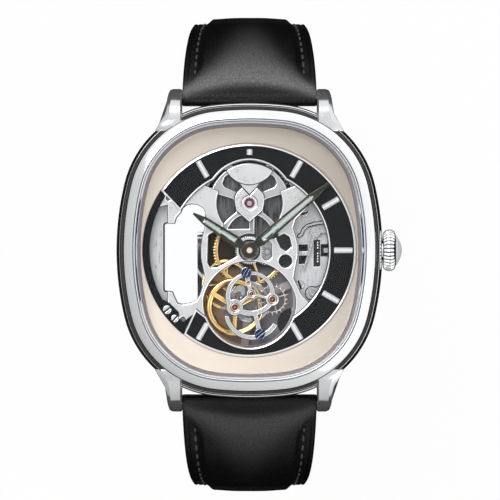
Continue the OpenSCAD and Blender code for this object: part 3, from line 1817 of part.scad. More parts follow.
case_body();
bezel();
crystal();
crystal_gasket();
case_back();
back_crystal();
back_screws();
crown_tube();
crown();
winding_stem();
strap_upper();
strap_lower();
spring_bars();
buckle_frame();
buckle_tongue();
buckle_bar();
keeper_fixed();
keeper_free();
movement_ring();
dial_flange();
chapter_ring();
lower_ring();
ring_screws();
hour_indices();
hour_hand();
hour_lume();
minute_hand();
minute_lume();
main_plate();
centre_bridge();
barrel_bridge();
barrel_cap();
train_bridge();
jewels();
bridge_screws();
barrel_drum();
mainspring();
ratchet_wheel();
crown_wheel();
click();
centre_wheel();
third_wheel();
cannon_pinion();
hour_wheel();
minute_wheel();
setting_lever();
keyless_springs();
winding_pinion();
fixed_wheel();
cage_base();
cage_bridge();
cage_screws();
cage_chatons();
cage_rubies();
balance_wheel();
hairspring();
pallet_fork();
pallet_stones();
escape_wheel();
escape_pinion();
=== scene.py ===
"""Cushion-cased wristwatch with an open dial and a tourbillon, on a pale studio floor."""
import bpy
import bmesh
from math import atan2, copysign, cos, exp, hypot, pi, radians, sin, sqrt
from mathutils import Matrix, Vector

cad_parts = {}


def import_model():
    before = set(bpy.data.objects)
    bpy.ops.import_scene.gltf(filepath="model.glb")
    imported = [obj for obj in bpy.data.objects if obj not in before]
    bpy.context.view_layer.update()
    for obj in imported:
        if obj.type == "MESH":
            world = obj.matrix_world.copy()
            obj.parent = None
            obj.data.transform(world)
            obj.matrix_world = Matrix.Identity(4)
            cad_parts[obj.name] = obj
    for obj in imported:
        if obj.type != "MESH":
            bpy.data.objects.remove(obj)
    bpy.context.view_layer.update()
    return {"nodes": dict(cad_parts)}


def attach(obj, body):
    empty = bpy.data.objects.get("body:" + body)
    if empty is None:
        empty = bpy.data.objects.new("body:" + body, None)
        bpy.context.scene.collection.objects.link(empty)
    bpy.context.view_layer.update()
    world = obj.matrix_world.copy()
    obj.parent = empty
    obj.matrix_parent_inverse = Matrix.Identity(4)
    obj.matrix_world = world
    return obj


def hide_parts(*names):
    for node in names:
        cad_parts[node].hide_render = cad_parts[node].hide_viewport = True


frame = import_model()
MM = 0.001

# ---- sizes in millimetres, as in the part ----
HALF_W, HALF_L = 20.45, 22.7
SIDE_R, END_R, CORNER_R = 44, 52, 16
PLATE_TOP, FRONT_TOP, RING_Z, RING_TOP = 4.3, 5.95, 6, 6.6
SPIDER_TOP, BOSS_TOP, LEVER_TOP, COVER_TOP = 5.45, 5.89, 4.95, 5.05
BAR_Y, BAR_Z = 23.5, 2.4
STRAP_W, STRAP_NECK_W, STRAP_END_W, STRAP_T, PAD_RISE = 20.74, 17.9, 14, 2, 1
NECK_AT, NARROW_OVER = 19, 22
BEND_R, LOOP_R = 19.5, 27
SHORT_HALF, LONG_HALF = 69, 104
LUG_INNER = 10.4
STEM_Z = 4
FLOOR_Z = -44.65
# a rim rises in fine steps from a foot under its face, and its slope climbs by this share of its width
RIM_STEP, RIM_FOOT, RIM_SLOPE = 0.004, -0.02, 0.3
SKIRT_RISE = 0.008
# two faces of one height lie within this many metres
SAME_LEVEL = 2e-5


# ---- mesh helpers ----

def ease(t):
    t = min(1, max(0, t))
    return (1 - cos(pi * t)) / 2


def between_points(table, at):
    """Value at a place, on straight lines through a table of (place, value)."""
    for (a, low), (b, high) in zip(table, table[1:]):
        if at <= b:
            return low + (high - low) * max(0, at - a) / (b - a)
    return table[-1][1]


def circle(n):
    """The cosine and sine of n equal turns."""
    return [(cos(2 * pi * k / n), sin(2 * pi * k / n)) for k in range(n)]


def from_axis(v):
    return hypot(v.co.x, v.co.y)


def new_object(name, data):
    made = bpy.data.objects.new(name, data)
    bpy.context.scene.collection.objects.link(made)
    return made


def mesh_object(name, bm, materials):
    mesh = bpy.data.meshes.new(name)
    bm.to_mesh(mesh)
    bm.free()
    for material in materials if isinstance(materials, (list, tuple)) else [materials]:
        mesh.materials.append(material)
    return new_object(name, mesh)


def finish_mesh(name, bm, materials, node=None, body="case", angle=32):
    """A piece with smooth faces and its sharp edges marked. It rides a body and may take a node's place."""
    bmesh.ops.recalc_face_normals(bm, faces=bm.faces)
    for face in bm.faces:
        face.smooth = True
    for edge in bm.edges:
        edge.smooth = len(edge.link_faces) == 2 and edge.calc_face_angle(0) < radians(angle)
    piece = mesh_object(name, bm, materials)
    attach(piece, body)
    if node:
        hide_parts(node)
    return piece


def add_rings(bm, rings, caps=False, loop=False):
    """Closed rings of points in millimetres, joined into a skin. It may have caps at its ends, or close on itself."""
    made = [[bm.verts.new(Vector(p) * MM) for p in ring] for ring in rings]
    for a, b in list(zip(made, made[1:])) + ([(made[-1], made[0])] if loop else []):
        n = len(a)
        for k in range(n):
            bm.faces.new((a[k], b[k], b[(k + 1) % n], a[(k + 1) % n]))
    if caps:
        bm.faces.new(made[0])
        bm.faces.new(list(reversed(made[-1])))
    return made


def skin(rings, **kind):
    bm = bmesh.new()
    add_rings(bm, rings, **kind)
    return bm


def paint(bm, around, first, last, index):
    """Gives a material to the bands of faces from one to the one before another."""
    bm.faces.ensure_lookup_table()
    for face in bm.faces[first * around:last * around]:
        face.material_index = index


def bevel_sharp(bm, width):
    edges = [e for e in bm.edges if len(e.link_faces) == 2 and e.calc_face_angle(0) > radians(50)]
    bmesh.ops.bevel(bm, geom=edges, offset=width * MM, segments=2, profile=0.5, affect="EDGES", clamp_overlap=True,
                    material=-1)


def copy_of_node(node):
    """The node's solid as welded faces, to be finished as a new piece."""
    bm = bmesh.new()
    bm.from_mesh(frame["nodes"][node].data)
    bmesh.ops.remove_doubles(bm, verts=bm.verts, dist=1e-6)
    bmesh.ops.recalc_face_normals(bm, faces=bm.faces)
    for face in bm.faces:
        face.material_index = 0
    return bm


def rim_loops(bm, height):
    """Closed outlines of the flat faces at one height: each point with its inward offset and 1 where it falls away."""
    flat = [f for f in bm.faces if f.normal.z > 0.98 and abs(f.calc_center_median().z - height * MM) < SAME_LEVEL]
    inside = set(flat)
    after = {}
    for face in flat:
        for corner in face.loops:
            others = [f for f in corner.edge.link_faces if f not in inside]
            if others:
                falls = others[0].calc_center_median().z < height * MM
                after.setdefault(corner.vert, []).append((corner.link_loop_next.vert, falls))
    outlines = []
    while after:
        vert = next(iter(after))
        steps = []
        while vert in after:
            following, falls = after[vert].pop()
            if not after[vert]:
                del after[vert]
            steps.append((vert.co / MM, falls))
            vert = following
        if len(steps) < 3:
            continue
        normals = []
        for (here, unused), (there, unused) in zip(steps, steps[1:] + steps[:1]):
            along = there - here
            normals.append(Vector((-along.y, along.x, 0)).normalized())
        outline = []
        for i, (here, falls) in enumerate(steps):
            before, own = normals[i - 1], normals[i]
            inward = (before + own) / max(1 + before.dot(own), 0.4)
            outline.append((here, inward, 1 if falls and steps[i - 1][1] else 0))
        outlines.append(outline)
    return outlines


def add_band(bm, sections, indices):
    """A closed band through sections of an outline. Each of its sides has its own material."""
    corners = len(indices)
    made = [[bm.verts.new(point * MM) for point in section] for section in sections]
    for one, two in zip(made, made[1:] + made[:1]):
        for k, index in enumerate(indices):
            face = bm.faces.new((one[k], one[(k + 1) % corners], two[(k + 1) % corners], two[k]))
            face.material_index = index


def add_rims(bm, loops, bright, dark):
    """A fine raised rim along each outline: a dark outer line of painted shade, then a polished slope."""
    for outline in loops:
        sections = []
        for here, inward, falls in outline:
            slope = bright * falls
            section = [(RIM_STEP, RIM_FOOT), (RIM_STEP, RIM_STEP), (dark, 2 * RIM_STEP),
                       (dark + RIM_STEP + slope, 0.01 + slope * RIM_SLOPE), (dark + 2 * RIM_STEP + slope, RIM_FOOT)]
            sections.append([here + inward * u + Vector((0, 0, z)) for u, z in section])
        add_band(bm, sections, (2, 2, 1, 1, 2))


def add_skirts(bm, loops, width, level):
    """A dark line of painted shadow on the plate round a piece's foot."""
    section = [(-width, RIM_FOOT), (-width, SKIRT_RISE), (0.02, SKIRT_RISE), (0.02, RIM_FOOT)]
    for outline in loops:
        add_band(bm, [[Vector((here.x + inward.x * u, here.y + inward.y * u, level + z)) for u, z in section]
                      for here, inward, falls in outline], (2, 2, 2, 2))


def widen_blade(bm, factor):
    """Widens a hand's blade about its own line, and leaves the boss."""
    far = max(from_axis(v) for v in bm.verts)
    tips = [v.co for v in bm.verts if from_axis(v) > far - 0.2 * MM]
    along = sum((Vector((c.x, c.y, 0)) for c in tips), Vector()).normalized()
    across = Vector((-along.y, along.x, 0))
    for v in bm.verts:
        v.co += across * v.co.dot(across) * (factor - 1) * ease((from_axis(v) / MM - 1.3) / 1.2)


def shorten_marks(bm, length, reach):
    """Draws the outer ends of the marks in, as far as a reach from them."""
    far = max(from_axis(v) for v in bm.verts)
    for v in bm.verts:
        out = from_axis(v)
        if out > far - reach * MM:
            v.co.x, v.co.y = (c * (1 - length * MM / out) for c in (v.co.x, v.co.y))


def broaden_heads(bm, level, factor):
    """Each loose screw grows sideways about its own axis, above a level."""
    seen = set()
    for first in bm.verts:
        if first in seen:
            continue
        part, reach = [], [first]
        seen.add(first)
        while reach:
            v = reach.pop()
            part.append(v)
            for edge in v.link_edges:
                other = edge.other_vert(v)
                if other not in seen:
                    seen.add(other)
                    reach.append(other)
        x, y = (sum((min(v.co[i] for v in part), max(v.co[i] for v in part))) / 2 for i in (0, 1))
        for v in part:
            if v.co.z > level * MM:
                v.co.x, v.co.y = x + (v.co.x - x) * factor, y + (v.co.y - y) * factor


def dressed(node, materials, levels, bright, dark, body="case", sides=2, by_height=(), slopes=None, change=None,
            skirt=None):
    """A node with rims and sides, whose dark lines and sides are mostly painted shade. Flat faces may take a finish by
    their height, and slopes one of their own.
    """
    bm = copy_of_node(node)
    if change:
        change(bm)
    for face in bm.faces:
        upright = abs(face.normal.z)
        if upright < 0.5:
            face.material_index = sides
        elif slopes is not None and upright < 0.98:
            face.material_index = slopes
        else:
            z = face.calc_center_median().z / MM
            face.material_index = next((index for low, index in by_height if z > low), 0)
    outlines = [outline for height in levels for outline in rim_loops(bm, height)]
    if skirt:
        add_skirts(bm, outlines, *skirt)
    add_rims(bm, outlines, bright, dark)
    finish_mesh(node + "_finished", bm, materials, node, body, angle=24)


# ---- cushion outline ----

def outline_arcs():
    side_cx, end_cy = HALF_W - SIDE_R, HALF_L - END_R
    gap = hypot(side_cx, end_cy)
    side_leg, end_leg = SIDE_R - CORNER_R, END_R - CORNER_R
    along = (side_leg ** 2 - end_leg ** 2 + gap ** 2) / (2 * gap)
    across = sqrt(side_leg ** 2 - along ** 2)
    cx = side_cx + (-along * side_cx - across * end_cy) / gap
    cy = (along * end_cy - across * side_cx) / gap
    return side_cx, end_cy, cx, cy, atan2(cy, cx - side_cx), atan2(cy - end_cy, cx)


SIDE_CX, END_CY, CORNER_X, CORNER_Y, SIDE_TURN, END_TURN = outline_arcs()


def cushion(out, fine=1):
    """The case outline, a distance out from the flank."""
    quarter = []
    for centre, r, a, b, n in (
            ((SIDE_CX, 0), SIDE_R, 0, SIDE_TURN, 10 * fine),
            ((CORNER_X, CORNER_Y), CORNER_R, SIDE_TURN, END_TURN, 26 * fine),
            ((0, END_CY), END_R, END_TURN, pi / 2, 8 * fine)):
        for i in range(n):
            t = a + (b - a) * i / n
            quarter.append((centre[0] + (r + out) * cos(t), centre[1] + (r + out) * sin(t)))
    upper = quarter + [(0, HALF_L + out)] + [(-x, y) for x, y in reversed(quarter[1:])]
    return upper + [(-HALF_W - out, 0)] + [(-x, -y) for x, y in upper[1:]]


def cushion_mesh(profile, **kind):
    """A skin over cushion outlines: each profile point is (out from the flank, height)."""
    return skin([[(x, y, z) for x, y in cushion(out)] for out, z in profile], **kind)


# ---- shader groups and materials ----

FLOAT, VECTOR, COLOR = "NodeSocketFloat", "NodeSocketVector", "NodeSocketColor"
ROUGH_SPREAD, METAL_RELIEF = 0.5, 0.00003
LEATHER_LEVEL = 0.22
# where the highlight is painted paler on the strap, in millimetres: its line, how it bends and its reach
HIGHLIGHT_Y, HIGHLIGHT_BEND, HIGHLIGHT_NARROW, HIGHLIGHT_REACH, HIGHLIGHT_EDGE = 26.4, 0.02, -0.032, 4.6, 0.9
# heights in millimetres over which the painted highlight grows
HIGHLIGHT_LOW, HIGHLIGHT_HIGH = -13, -4


class Value:
    """What a socket gives. Sums, differences and products of it add math nodes to its tree."""

    def __init__(self, socket):
        self.socket, self.tree = socket, socket.id_data

    def calc(self, operation, other=0, clamp=False):
        return flow(self.tree, "ShaderNodeMath", {"operation": operation, "use_clamp": clamp}, i0=self, i1=other)

    def __add__(self, other):
        return self.calc("ADD", other)

    def __sub__(self, other):
        return self.calc("SUBTRACT", other)

    def __rsub__(self, other):
        return flow(self.tree, "ShaderNodeMath", {"operation": "SUBTRACT"}, i0=other, i1=self)

    def __mul__(self, other):
        return self.calc("MULTIPLY", other)


def fill(made, **values):
    """Links or sets a node's inputs: i0, i1 and so on by number, other words by name."""
    for key, value in values.items():
        target = made.inputs[int(key[1:]) if key[1:].isdigit() else key.replace("_", " ")]
        if isinstance(value, Value):
            made.id_data.links.new(value.socket, target)
        else:
            target.default_value = value


def node(tree, kind, settings=None, **values):
    made = tree.nodes.new(kind)
    for key, value in (settings or {}).items():
        setattr(made, key, value)
    fill(made, **values)
    return made


def flow(tree, kind, settings=None, output=0, **values):
    """What a new node gives."""
    return Value(node(tree, kind, settings, **values).outputs[output])


def vector_math(tree, operation, **values):
    return flow(tree, "ShaderNodeVectorMath", {"operation": operation}, **values)


def parts(vector):
    """A vector's x, y and z."""
    return [Value(socket) for socket in node(vector.tree, "ShaderNodeSeparateXYZ", i0=vector).outputs]


def noise(vector, scale, detail, output=0, **values):
    return flow(vector.tree, "ShaderNodeTexNoise", output=output, Vector=vector, Scale=scale, Detail=detail, **values)


def mapped(value, start, end, low=0, high=1, kind="LINEAR"):
    """Low at the start, high at the end, and between them in between."""
    return flow(value.tree, "ShaderNodeMapRange", {"interpolation_type": kind}, i0=value, i1=start, i2=end, i3=low,
                i4=high)


def mix_colours(tree, share, a, b, blend="MIX"):
    return flow(tree, "ShaderNodeMix", {"data_type": "RGBA", "blend_type": blend}, 2, i0=share, i6=a, i7=b)


def mix_shaders(tree, share, a, b):
    return flow(tree, "ShaderNodeMixShader", i0=share, i1=a, i2=b)


def relief(strength, distance, height):
    return flow(height.tree, "ShaderNodeBump", Strength=strength, Distance=distance, Height=height)


def any_ray(tree, name, *others):
    """1 for a ray of one of the named kinds."""
    kinds = node(tree, "ShaderNodeLightPath").outputs
    found = Value(kinds[f"Is {name} Ray"])
    for other in others:
        found = found.calc("MAXIMUM", Value(kinds[f"Is {other} Ray"]))
    return found


def ramp(factor, stops):
    made = node(factor.tree, "ShaderNodeValToRGB", i0=factor)
    elements = made.color_ramp.elements
    while len(elements) < len(stops):
        elements.new(0.5)
    for element, (place, value) in zip(elements, stops):
        element.position = place
        element.color = (value, value, value, 1) if isinstance(value, float) else (*value, 1)
    return Value(made.outputs[0])


def group(name, inputs, outputs=(("Shade", FLOAT), ("Height", FLOAT))):
    """A shader group with a vector and other inputs: its tree, the values that it's given and its output node."""
    tree = bpy.data.node_groups.new(name, "ShaderNodeTree")
    for label, kind, value in (("Vector", VECTOR, None), *inputs):
        socket = tree.interface.new_socket(label, in_out="INPUT", socket_type=kind)
        if value is not None:
            socket.default_value = value
    for label, kind in outputs:
        tree.interface.new_socket(label, in_out="OUTPUT", socket_type=kind)
    given = tree.nodes.new("NodeGroupInput").outputs[:len(inputs) + 1]
    return tree, [Value(socket) for socket in given], tree.nodes.new("NodeGroupOutput")


def shaded(tree, out, pattern, amount, base=1):
    """The shade swings about its base with a pattern, and the pattern is the height."""
    fill(out, i0=(pattern - 0.5) * amount + base, i1=pattern)
    return tree


def grain_group():
    """Fine two-scale mottling of a worked metal surface."""
    tree, (vector, scale, amount), out = group("worked grain", [("Scale", FLOAT, 3000), ("Amount", FLOAT, 0.3)])
    fine = noise(vector, scale, 4, Roughness=0.6)
    wide = noise(vector, scale * 0.05, 2)
    return shaded(tree, out, fine * 0.6 + wide * 0.4, amount)


def brushed_group():
    """Long scratches along one direction: the vector is stretched before the noise."""
    tree, (vector, stretch, amount), out = group("brushed lines", [
        ("Stretch", VECTOR, (200, 9000, 9000)), ("Amount", FLOAT, 0.3)])
    stretched = vector_math(tree, "MULTIPLY", i0=vector, i1=stretch)
    return shaded(tree, out, noise(stretched, 1, 3, Roughness=0.7), amount)


def round_group():
    """Circular snailing round a centre, with a painted sheen that turns with the angle."""
    tree, (vector, centre, rings, amount, sheen), out = group("circular brushing", [
        ("Centre", VECTOR, (0, 0, 0)), ("Rings", FLOAT, 9000), ("Amount", FLOAT, 0.3), ("Sheen", FLOAT, 0.15)])
    x, y, unused = parts(vector_math(tree, "SUBTRACT", i0=vector, i1=centre))
    radius = (x.calc("POWER", 2) + y.calc("POWER", 2)).calc("SQRT")
    angle = y.calc("ARCTAN2", x)
    polar = flow(tree, "ShaderNodeCombineXYZ", i0=radius * rings, i1=angle * 1.2, i2=0)
    pattern = noise(polar, 1, 3, Roughness=0.65)
    # the sheen is painted into the shade, brighter and darker by the angle round the centre
    return shaded(tree, out, pattern, amount, (angle * 2).calc("SINE") * sheen + 1)


def leather_group():
    """Pebbled calf grain with fine wrinkles between the pebbles, and a painted highlight over the swell next to the
    lugs.
    """
    tree, (vector, scale, dark, light, worn), out = group("calf grain", [
        ("Scale", FLOAT, 1700), ("Dark", COLOR, (0.01, 0.01, 0.011, 1)), ("Light", COLOR, (0.04, 0.04, 0.043, 1)),
        ("Worn", COLOR, (0, 0, 0, 1))], [("Color", COLOR), ("Roughness", FLOAT), ("Height", FLOAT)])
    bend = noise(vector, 900, 2, output=1)
    shifted = vector_math(tree, "MULTIPLY_ADD", i0=bend, i1=(0.0006,) * 3, i2=vector)
    cells = flow(tree, "ShaderNodeTexVoronoi", {"feature": "DISTANCE_TO_EDGE"}, Vector=shifted, Scale=scale)
    pebble = ramp(cells, [(0.0, 0.0), (0.12, 0.75), (0.4, 1.0)])
    fine = noise(vector, 9000, 3)
    height = pebble * 0.8 + fine * 0.2
    wide = noise(vector, 160, 3)
    colour = mix_colours(tree, height.calc("MULTIPLY", wide * 0.8 + 0.5, clamp=True), dark, light)
    # painted highlight: paler over the swell next to the lugs, in a band that narrows to the edges, stronger towards
    # 12 o'clock and on the higher parts
    x, y, z = parts(vector)
    x, y = x * 1000, y * 1000
    x_squared = x * x
    off = y.calc("ABSOLUTE") - (HIGHLIGHT_Y - x_squared * HIGHLIGHT_BEND)
    far = off.calc("GREATER_THAN") * ((x_squared * HIGHLIGHT_NARROW).calc("EXPONENT") * HIGHLIGHT_REACH)
    ratio = off.calc("DIVIDE", far + HIGHLIGHT_EDGE)
    band = (ratio * ratio * -1).calc("EXPONENT")
    towards_12 = y.calc("GREATER_THAN") * 0.66 + 0.36
    high = mapped(z, HIGHLIGHT_LOW * MM, HIGHLIGHT_HIGH * MM, kind="SMOOTHSTEP")
    painted_highlight = band * (towards_12 * high) * (fine * 1.1 + pebble * 0.3)
    fill(out, i0=mix_colours(tree, painted_highlight, colour, worn, "ADD"), i1=0.38 - height * 0.1, i2=height)
    return tree


GRAIN, BRUSHED, ROUND, LEATHER = grain_group(), brushed_group(), round_group(), leather_group()


def shader_of(material):
    """A material's tree, its main shader and its object coordinates."""
    tree = material.node_tree
    shader = next(n for n in tree.nodes if n.type == "BSDF_PRINCIPLED")
    place = next((n for n in tree.nodes if n.type == "TEX_COORD"), None) or tree.nodes.new("ShaderNodeTexCoord")
    return tree, shader, Value(place.outputs["Object"])


def new_material(name):
    material = bpy.data.materials.new(name)
    material.use_nodes = True
    return material, *shader_of(material)


def show(tree, surface):
    """Sends a shader to the material's output."""
    fill(next(n for n in tree.nodes if n.type == "OUTPUT_MATERIAL"), Surface=surface)


def metal(name, colour, rough, metallic, amount, effect=GRAIN, bump=0, level=0.5, **values):
    """A worked metal: the effect group shades the colour and roughness and lifts the surface."""
    material, tree, shader, place = new_material(name)
    worked = node(tree, "ShaderNodeGroup", {"node_tree": effect}, Vector=place, Amount=amount, **values)
    shade, height = (Value(socket) for socket in worked.outputs)
    grey = flow(tree, "ShaderNodeCombineColor", i0=shade, i1=shade, i2=shade)
    uneven = mapped(height, 0.25, 0.75, rough * (1 - ROUGH_SPREAD), rough * (1 + ROUGH_SPREAD))
    fill(shader, Base_Color=mix_colours(tree, 1, (*colour, 1), grey, "MULTIPLY"), Roughness=uneven, Metallic=metallic,
         Specular_IOR_Level=level)
    if bump:
        fill(shader, Normal=relief(bump, METAL_RELIEF, height))
    return material


def leather(name, dark, light, scale, bump, distance=0.0001, worn=(0, 0, 0)):
    material, tree, shader, place = new_material(name)
    grain = node(tree, "ShaderNodeGroup", {"node_tree": LEATHER}, Vector=place, Scale=scale, Dark=(*dark, 1),
                 Light=(*light, 1), Worn=(*worn, 1))
    colour, rough, height = (Value(socket) for socket in grain.outputs)
    fill(shader, Base_Color=colour, Roughness=rough, Specular_IOR_Level=LEATHER_LEVEL,
         Normal=relief(bump, distance, height))
    return material


def clear_glass(name, tint):
    """Glass that lets the lamps' light through to the dial."""
    material, tree, shader, place = new_material(name)
    fill(shader, Base_Color=(*tint, 1), Transmission_Weight=1, Roughness=0, IOR=1.5,
         Specular_Tint=(0.14, 0.15, 0.17, 1))
    clear = flow(tree, "ShaderNodeBsdfTransparent", Color=(0.97, 0.98, 0.99, 1))
    show(tree, mix_shaders(tree, any_ray(tree, "Shadow", "Diffuse"), Value(shader.outputs[0]), clear))
    return material


def ruby(name, colour, edge):
    material, tree, shader, place = new_material(name)
    colours = ramp(noise(place, 2500.0, 2.0), [(0.3, colour), (0.7, edge)])
    fill(shader, Base_Color=colours, Roughness=0.08, Coat_Weight=0.3, Coat_Roughness=0.03)
    return material


# each metal's name, colour, roughness, how metallic it is and how uneven
POLISHED = metal("polished case steel", (0.86, 0.87, 0.88), 0.05, 1, 0.03, Scale=1500)
BEZEL = metal("polished bezel steel", (0.79, 0.795, 0.8), 0.12, 1, 0.18, BRUSHED, Stretch=(60, 60, 60))
BRUSHED_CASE = metal("brushed case steel", (0.62, 0.63, 0.65), 0.3, 1, 0.2, BRUSHED,
                     bump=0.15, Stretch=(300, 12000, 12000))
SHADE = metal("shaded bezel ledge", (0.3, 0.26, 0.27), 0.5, 0.2, 0.1, level=0.2, Scale=2000)
GASKET_GLINT = metal("seat gasket with painted glint", (0.76, 0.84, 0.93), 0.35, 0.9, 0.1, Scale=2000)
BLACK_SEAL_AND_SHADE = metal("black seal and painted shade", (0.012, 0.012, 0.013), 0.6, 0, 0.3, Scale=2500)
CREAM = metal("champagne flange", (0.81, 0.7, 0.59), 0.42, 0.15, 0.16, bump=0.1, Scale=9000)
RING_BLACK = metal("satin black ring", (0.0095, 0.0095, 0.0102), 0.5, 0, 0.5, bump=0.1, level=0.08, Scale=9000)
EDGE_SILVER = metal("polished edges", (0.84, 0.84, 0.84), 0.16, 1, 0.05)
# dark sides and outlines of the plates are painted shade
PAINTED_SHADE_SIDE = metal("sides in painted shade", (0.02, 0.02, 0.022), 0.5, 0.2, 0.4, level=0.15, Scale=4000)
INDEX = metal("index tops", (0.88, 0.88, 0.88), 0.12, 1, 0.08)
FACET = metal("index facets", (0.72, 0.72, 0.73), 0.25, 0.35, 0.1)
LUG_STEEL = metal("polished lug steel", (0.66, 0.665, 0.675), 0.2, 0.85, 0.06, Scale=1500)
DOME = metal("crown dome steel", (0.92, 0.92, 0.93), 0.4, 0.15, 0.06, Scale=1500)
HAND = metal("olive black hands", (0.026, 0.027, 0.019), 0.3, 0.2, 0.4, level=0.3, Scale=5000)
HAND_EDGE = metal("coppery hand edges", (0.14, 0.11, 0.075), 0.25, 0.7, 0.3, Scale=5000)
LUME = metal("pale lume", (0.66, 0.82, 0.73), 0.6, 0, 0.1, Scale=9000)
COPPER = metal("coppery pin", (0.92, 0.72, 0.58), 0.15, 1, 0.05)
PLATE = metal("brushed grey plate", (0.64, 0.64, 0.645), 0.38, 0.5, 0.55, BRUSHED,
              bump=0.2, Stretch=(2600, 500, 2600))
WELL = metal("grey violet well", (0.62, 0.57, 0.59), 0.35, 0.2, 0.9, level=0.2, bump=0.1, Scale=900)
DEEP = metal("shaded rear bridge", (0.34, 0.31, 0.32), 0.4, 0.3, 0.4, level=0.2, Scale=5000)
BRIDGE = metal("bright bridge", (0.66, 0.66, 0.66), 0.34, 0.6, 0.16, bump=0.12, Scale=7000)
SPIDER = metal("grey satin spider", (0.48, 0.48, 0.48), 0.36, 0.55, 0.22, bump=0.12, Scale=7000)
BOSS = metal("bright boss", (0.68, 0.68, 0.68), 0.25, 0.6, 0.15, bump=0.1, Scale=7000)
DRUM = metal("brushed barrel", (0.1, 0.1, 0.103), 0.4, 0.6, 4.2, BRUSHED,
             level=0.2, bump=0.6, Stretch=(2600, 260, 2600))
STEEL_WHEEL = metal("steel wheels", (0.5, 0.505, 0.51), 0.3, 0.7, 0.3, ROUND, bump=0.2, Rings=14000, Sheen=0.1)
STEEL = metal("fine steel", (0.5, 0.505, 0.51), 0.28, 0.6, 0.2, Scale=5000)
# steel painted dark as the shade in the case groove and the crown's valleys and collar
SHADED_STEEL = metal("steel in painted shade", (0.05, 0.05, 0.053), 0.3, 0.6, 0.3, Scale=5000)
GILT = metal("gilt brass", (0.86, 0.52, 0.15), 0.26, 0.8, 0.5, ROUND,
             bump=0.2, Centre=(-0.0035, -0.0053, 0), Rings=12000, Sheen=0.2)
GILT_EDGE = metal("bright gilt edges", (0.98, 0.76, 0.4), 0.15, 1, 0.05)
GILT_SIDE = metal("shaded gilt sides", (0.1, 0.055, 0.016), 0.4, 0.5, 0.2, level=0.2)
CHATON = metal("polished gold", (0.88, 0.62, 0.25), 0.14, 1, 0.05)
CAGE_STEEL = metal("bright cage steel", (0.56, 0.56, 0.565), 0.24, 0.7, 0.15, Scale=6000)
CAGE_LOW = metal("lower cage steel", (0.2, 0.18, 0.17), 0.3, 0.7, 0.3, level=0.2, Scale=6000)
BLUED = metal("blued steel", (0.004, 0.022, 0.12), 0.2, 0.8, 0.5)
BLUED_EDGE = metal("bright blued edges", (0.42, 0.47, 0.56), 0.15, 1, 0.2)
ESCAPE = metal("pinkish steel", (0.76, 0.66, 0.61), 0.25, 0.7, 0.15, Scale=5000)
ESCAPE_EDGE = metal("pinkish steel edges", (0.72, 0.62, 0.57), 0.2, 0.7, 0.1, Scale=5000)
SPRING = metal("spring steel", (0.2, 0.23, 0.29), 0.25, 0.8, 0.15, level=0.2, Scale=5000)
RUBY = ruby("ruby", (0.14, 0.002, 0.04), (0.26, 0.008, 0.09))
STONE = ruby("red stones", (0.6, 0.02, 0.05), (0.8, 0.04, 0.08))
GLASS = clear_glass("sapphire", (0.99, 0.995, 1))
RECESS_SHADE = metal("recess in painted shade", (0.06, 0.06, 0.061), 0.5, 0.3, 0.4, level=0.2, Scale=5000)


def colour_of(shader):
    return Value(shader.inputs["Base Color"].links[0].from_socket)


def gild_left(material, colour, start, end):
    """Gold from the balance's side: the colour turns gilt from one x to another, and darkens under the bridge as
    painted shadow.
    """
    tree, shader, place = shader_of(material)
    x, y, unused = parts(place)
    left = mapped(x, start * MM, end * MM, 1, 0, "SMOOTHSTEP")
    gilt = mix_colours(tree, left, colour_of(shader), (*colour, 1), "MULTIPLY")
    open_part = mapped(y, SHADE_FROM * MM, SHADE_TO * MM, 1, BRIDGE_SHADE)
    fill(shader, Base_Color=vector_math(tree, "SCALE", i0=gilt, Scale=open_part))


def lit_from_left(material, slope_x, slope_y):
    """Painted light: the colour is stronger to the lower left and weaker to the upper right, by a share for each
    millimetre.
    """
    tree, shader, place = shader_of(material)
    x, y, unused = parts(place)
    share = 1 - (x * (slope_x / MM) + y * (slope_y / MM))
    fill(shader, Base_Color=vector_math(tree, "SCALE", i0=colour_of(shader), Scale=share))


# the bridge over the well shades it from one y to another
SHADE_FROM, SHADE_TO, BRIDGE_SHADE = -3.4, -2.4, 0.16
# the flange's colour carries painted light, brighter towards the left
lit_from_left(CREAM, 0.018, 0.005)
gild_left(WELL, (0.85, 0.46, 0.15), -5, 2)
gild_left(DEEP, (1, 0.66, 0.34), -4, 2)
# the calf's last colour is a painted highlight, added over the swell next to the lugs
CALF = leather("black calf", (0.002, 0.002, 0.0022), (0.006, 0.006, 0.0064), 1900, 0.45, worn=(0.2, 0.2, 0.202))
LINING = leather("strap lining", (0.02, 0.019, 0.018), (0.06, 0.057, 0.055), 2600, 0.25)
THREAD = leather("waxed thread", (0.025, 0.025, 0.026), (0.13, 0.13, 0.133), 5200, 0.6, 0.00005)

# CAD nodes whose shape is right keep it, and take a finish
CAD_FINISH = {
    BRUSHED_CASE: ["case_back", "movement_ring"],
    POLISHED: ["crown_tube", "spring_bars", "buckle_bar"],
    STEEL: ["back_screws", "winding_stem", "winding_pinion", "click", "escape_pinion", "pallet_fork"],
    CAGE_LOW: ["cage_base"],
    STEEL_WHEEL: ["ratchet_wheel", "crown_wheel"],
    CREAM: ["dial_flange"],
    DEEP: ["train_bridge"],
    SPRING: ["mainspring", "hairspring"],
    COPPER: ["cannon_pinion"],
    RUBY: ["jewels", "cage_rubies"],
    STONE: ["pallet_stones"],
    GLASS: ["back_crystal"],
}
for finish, nodes in CAD_FINISH.items():
    for name in nodes:
        mesh = frame["nodes"][name].data
        mesh.materials.clear()
        mesh.materials.append(finish)

# ---- case ----

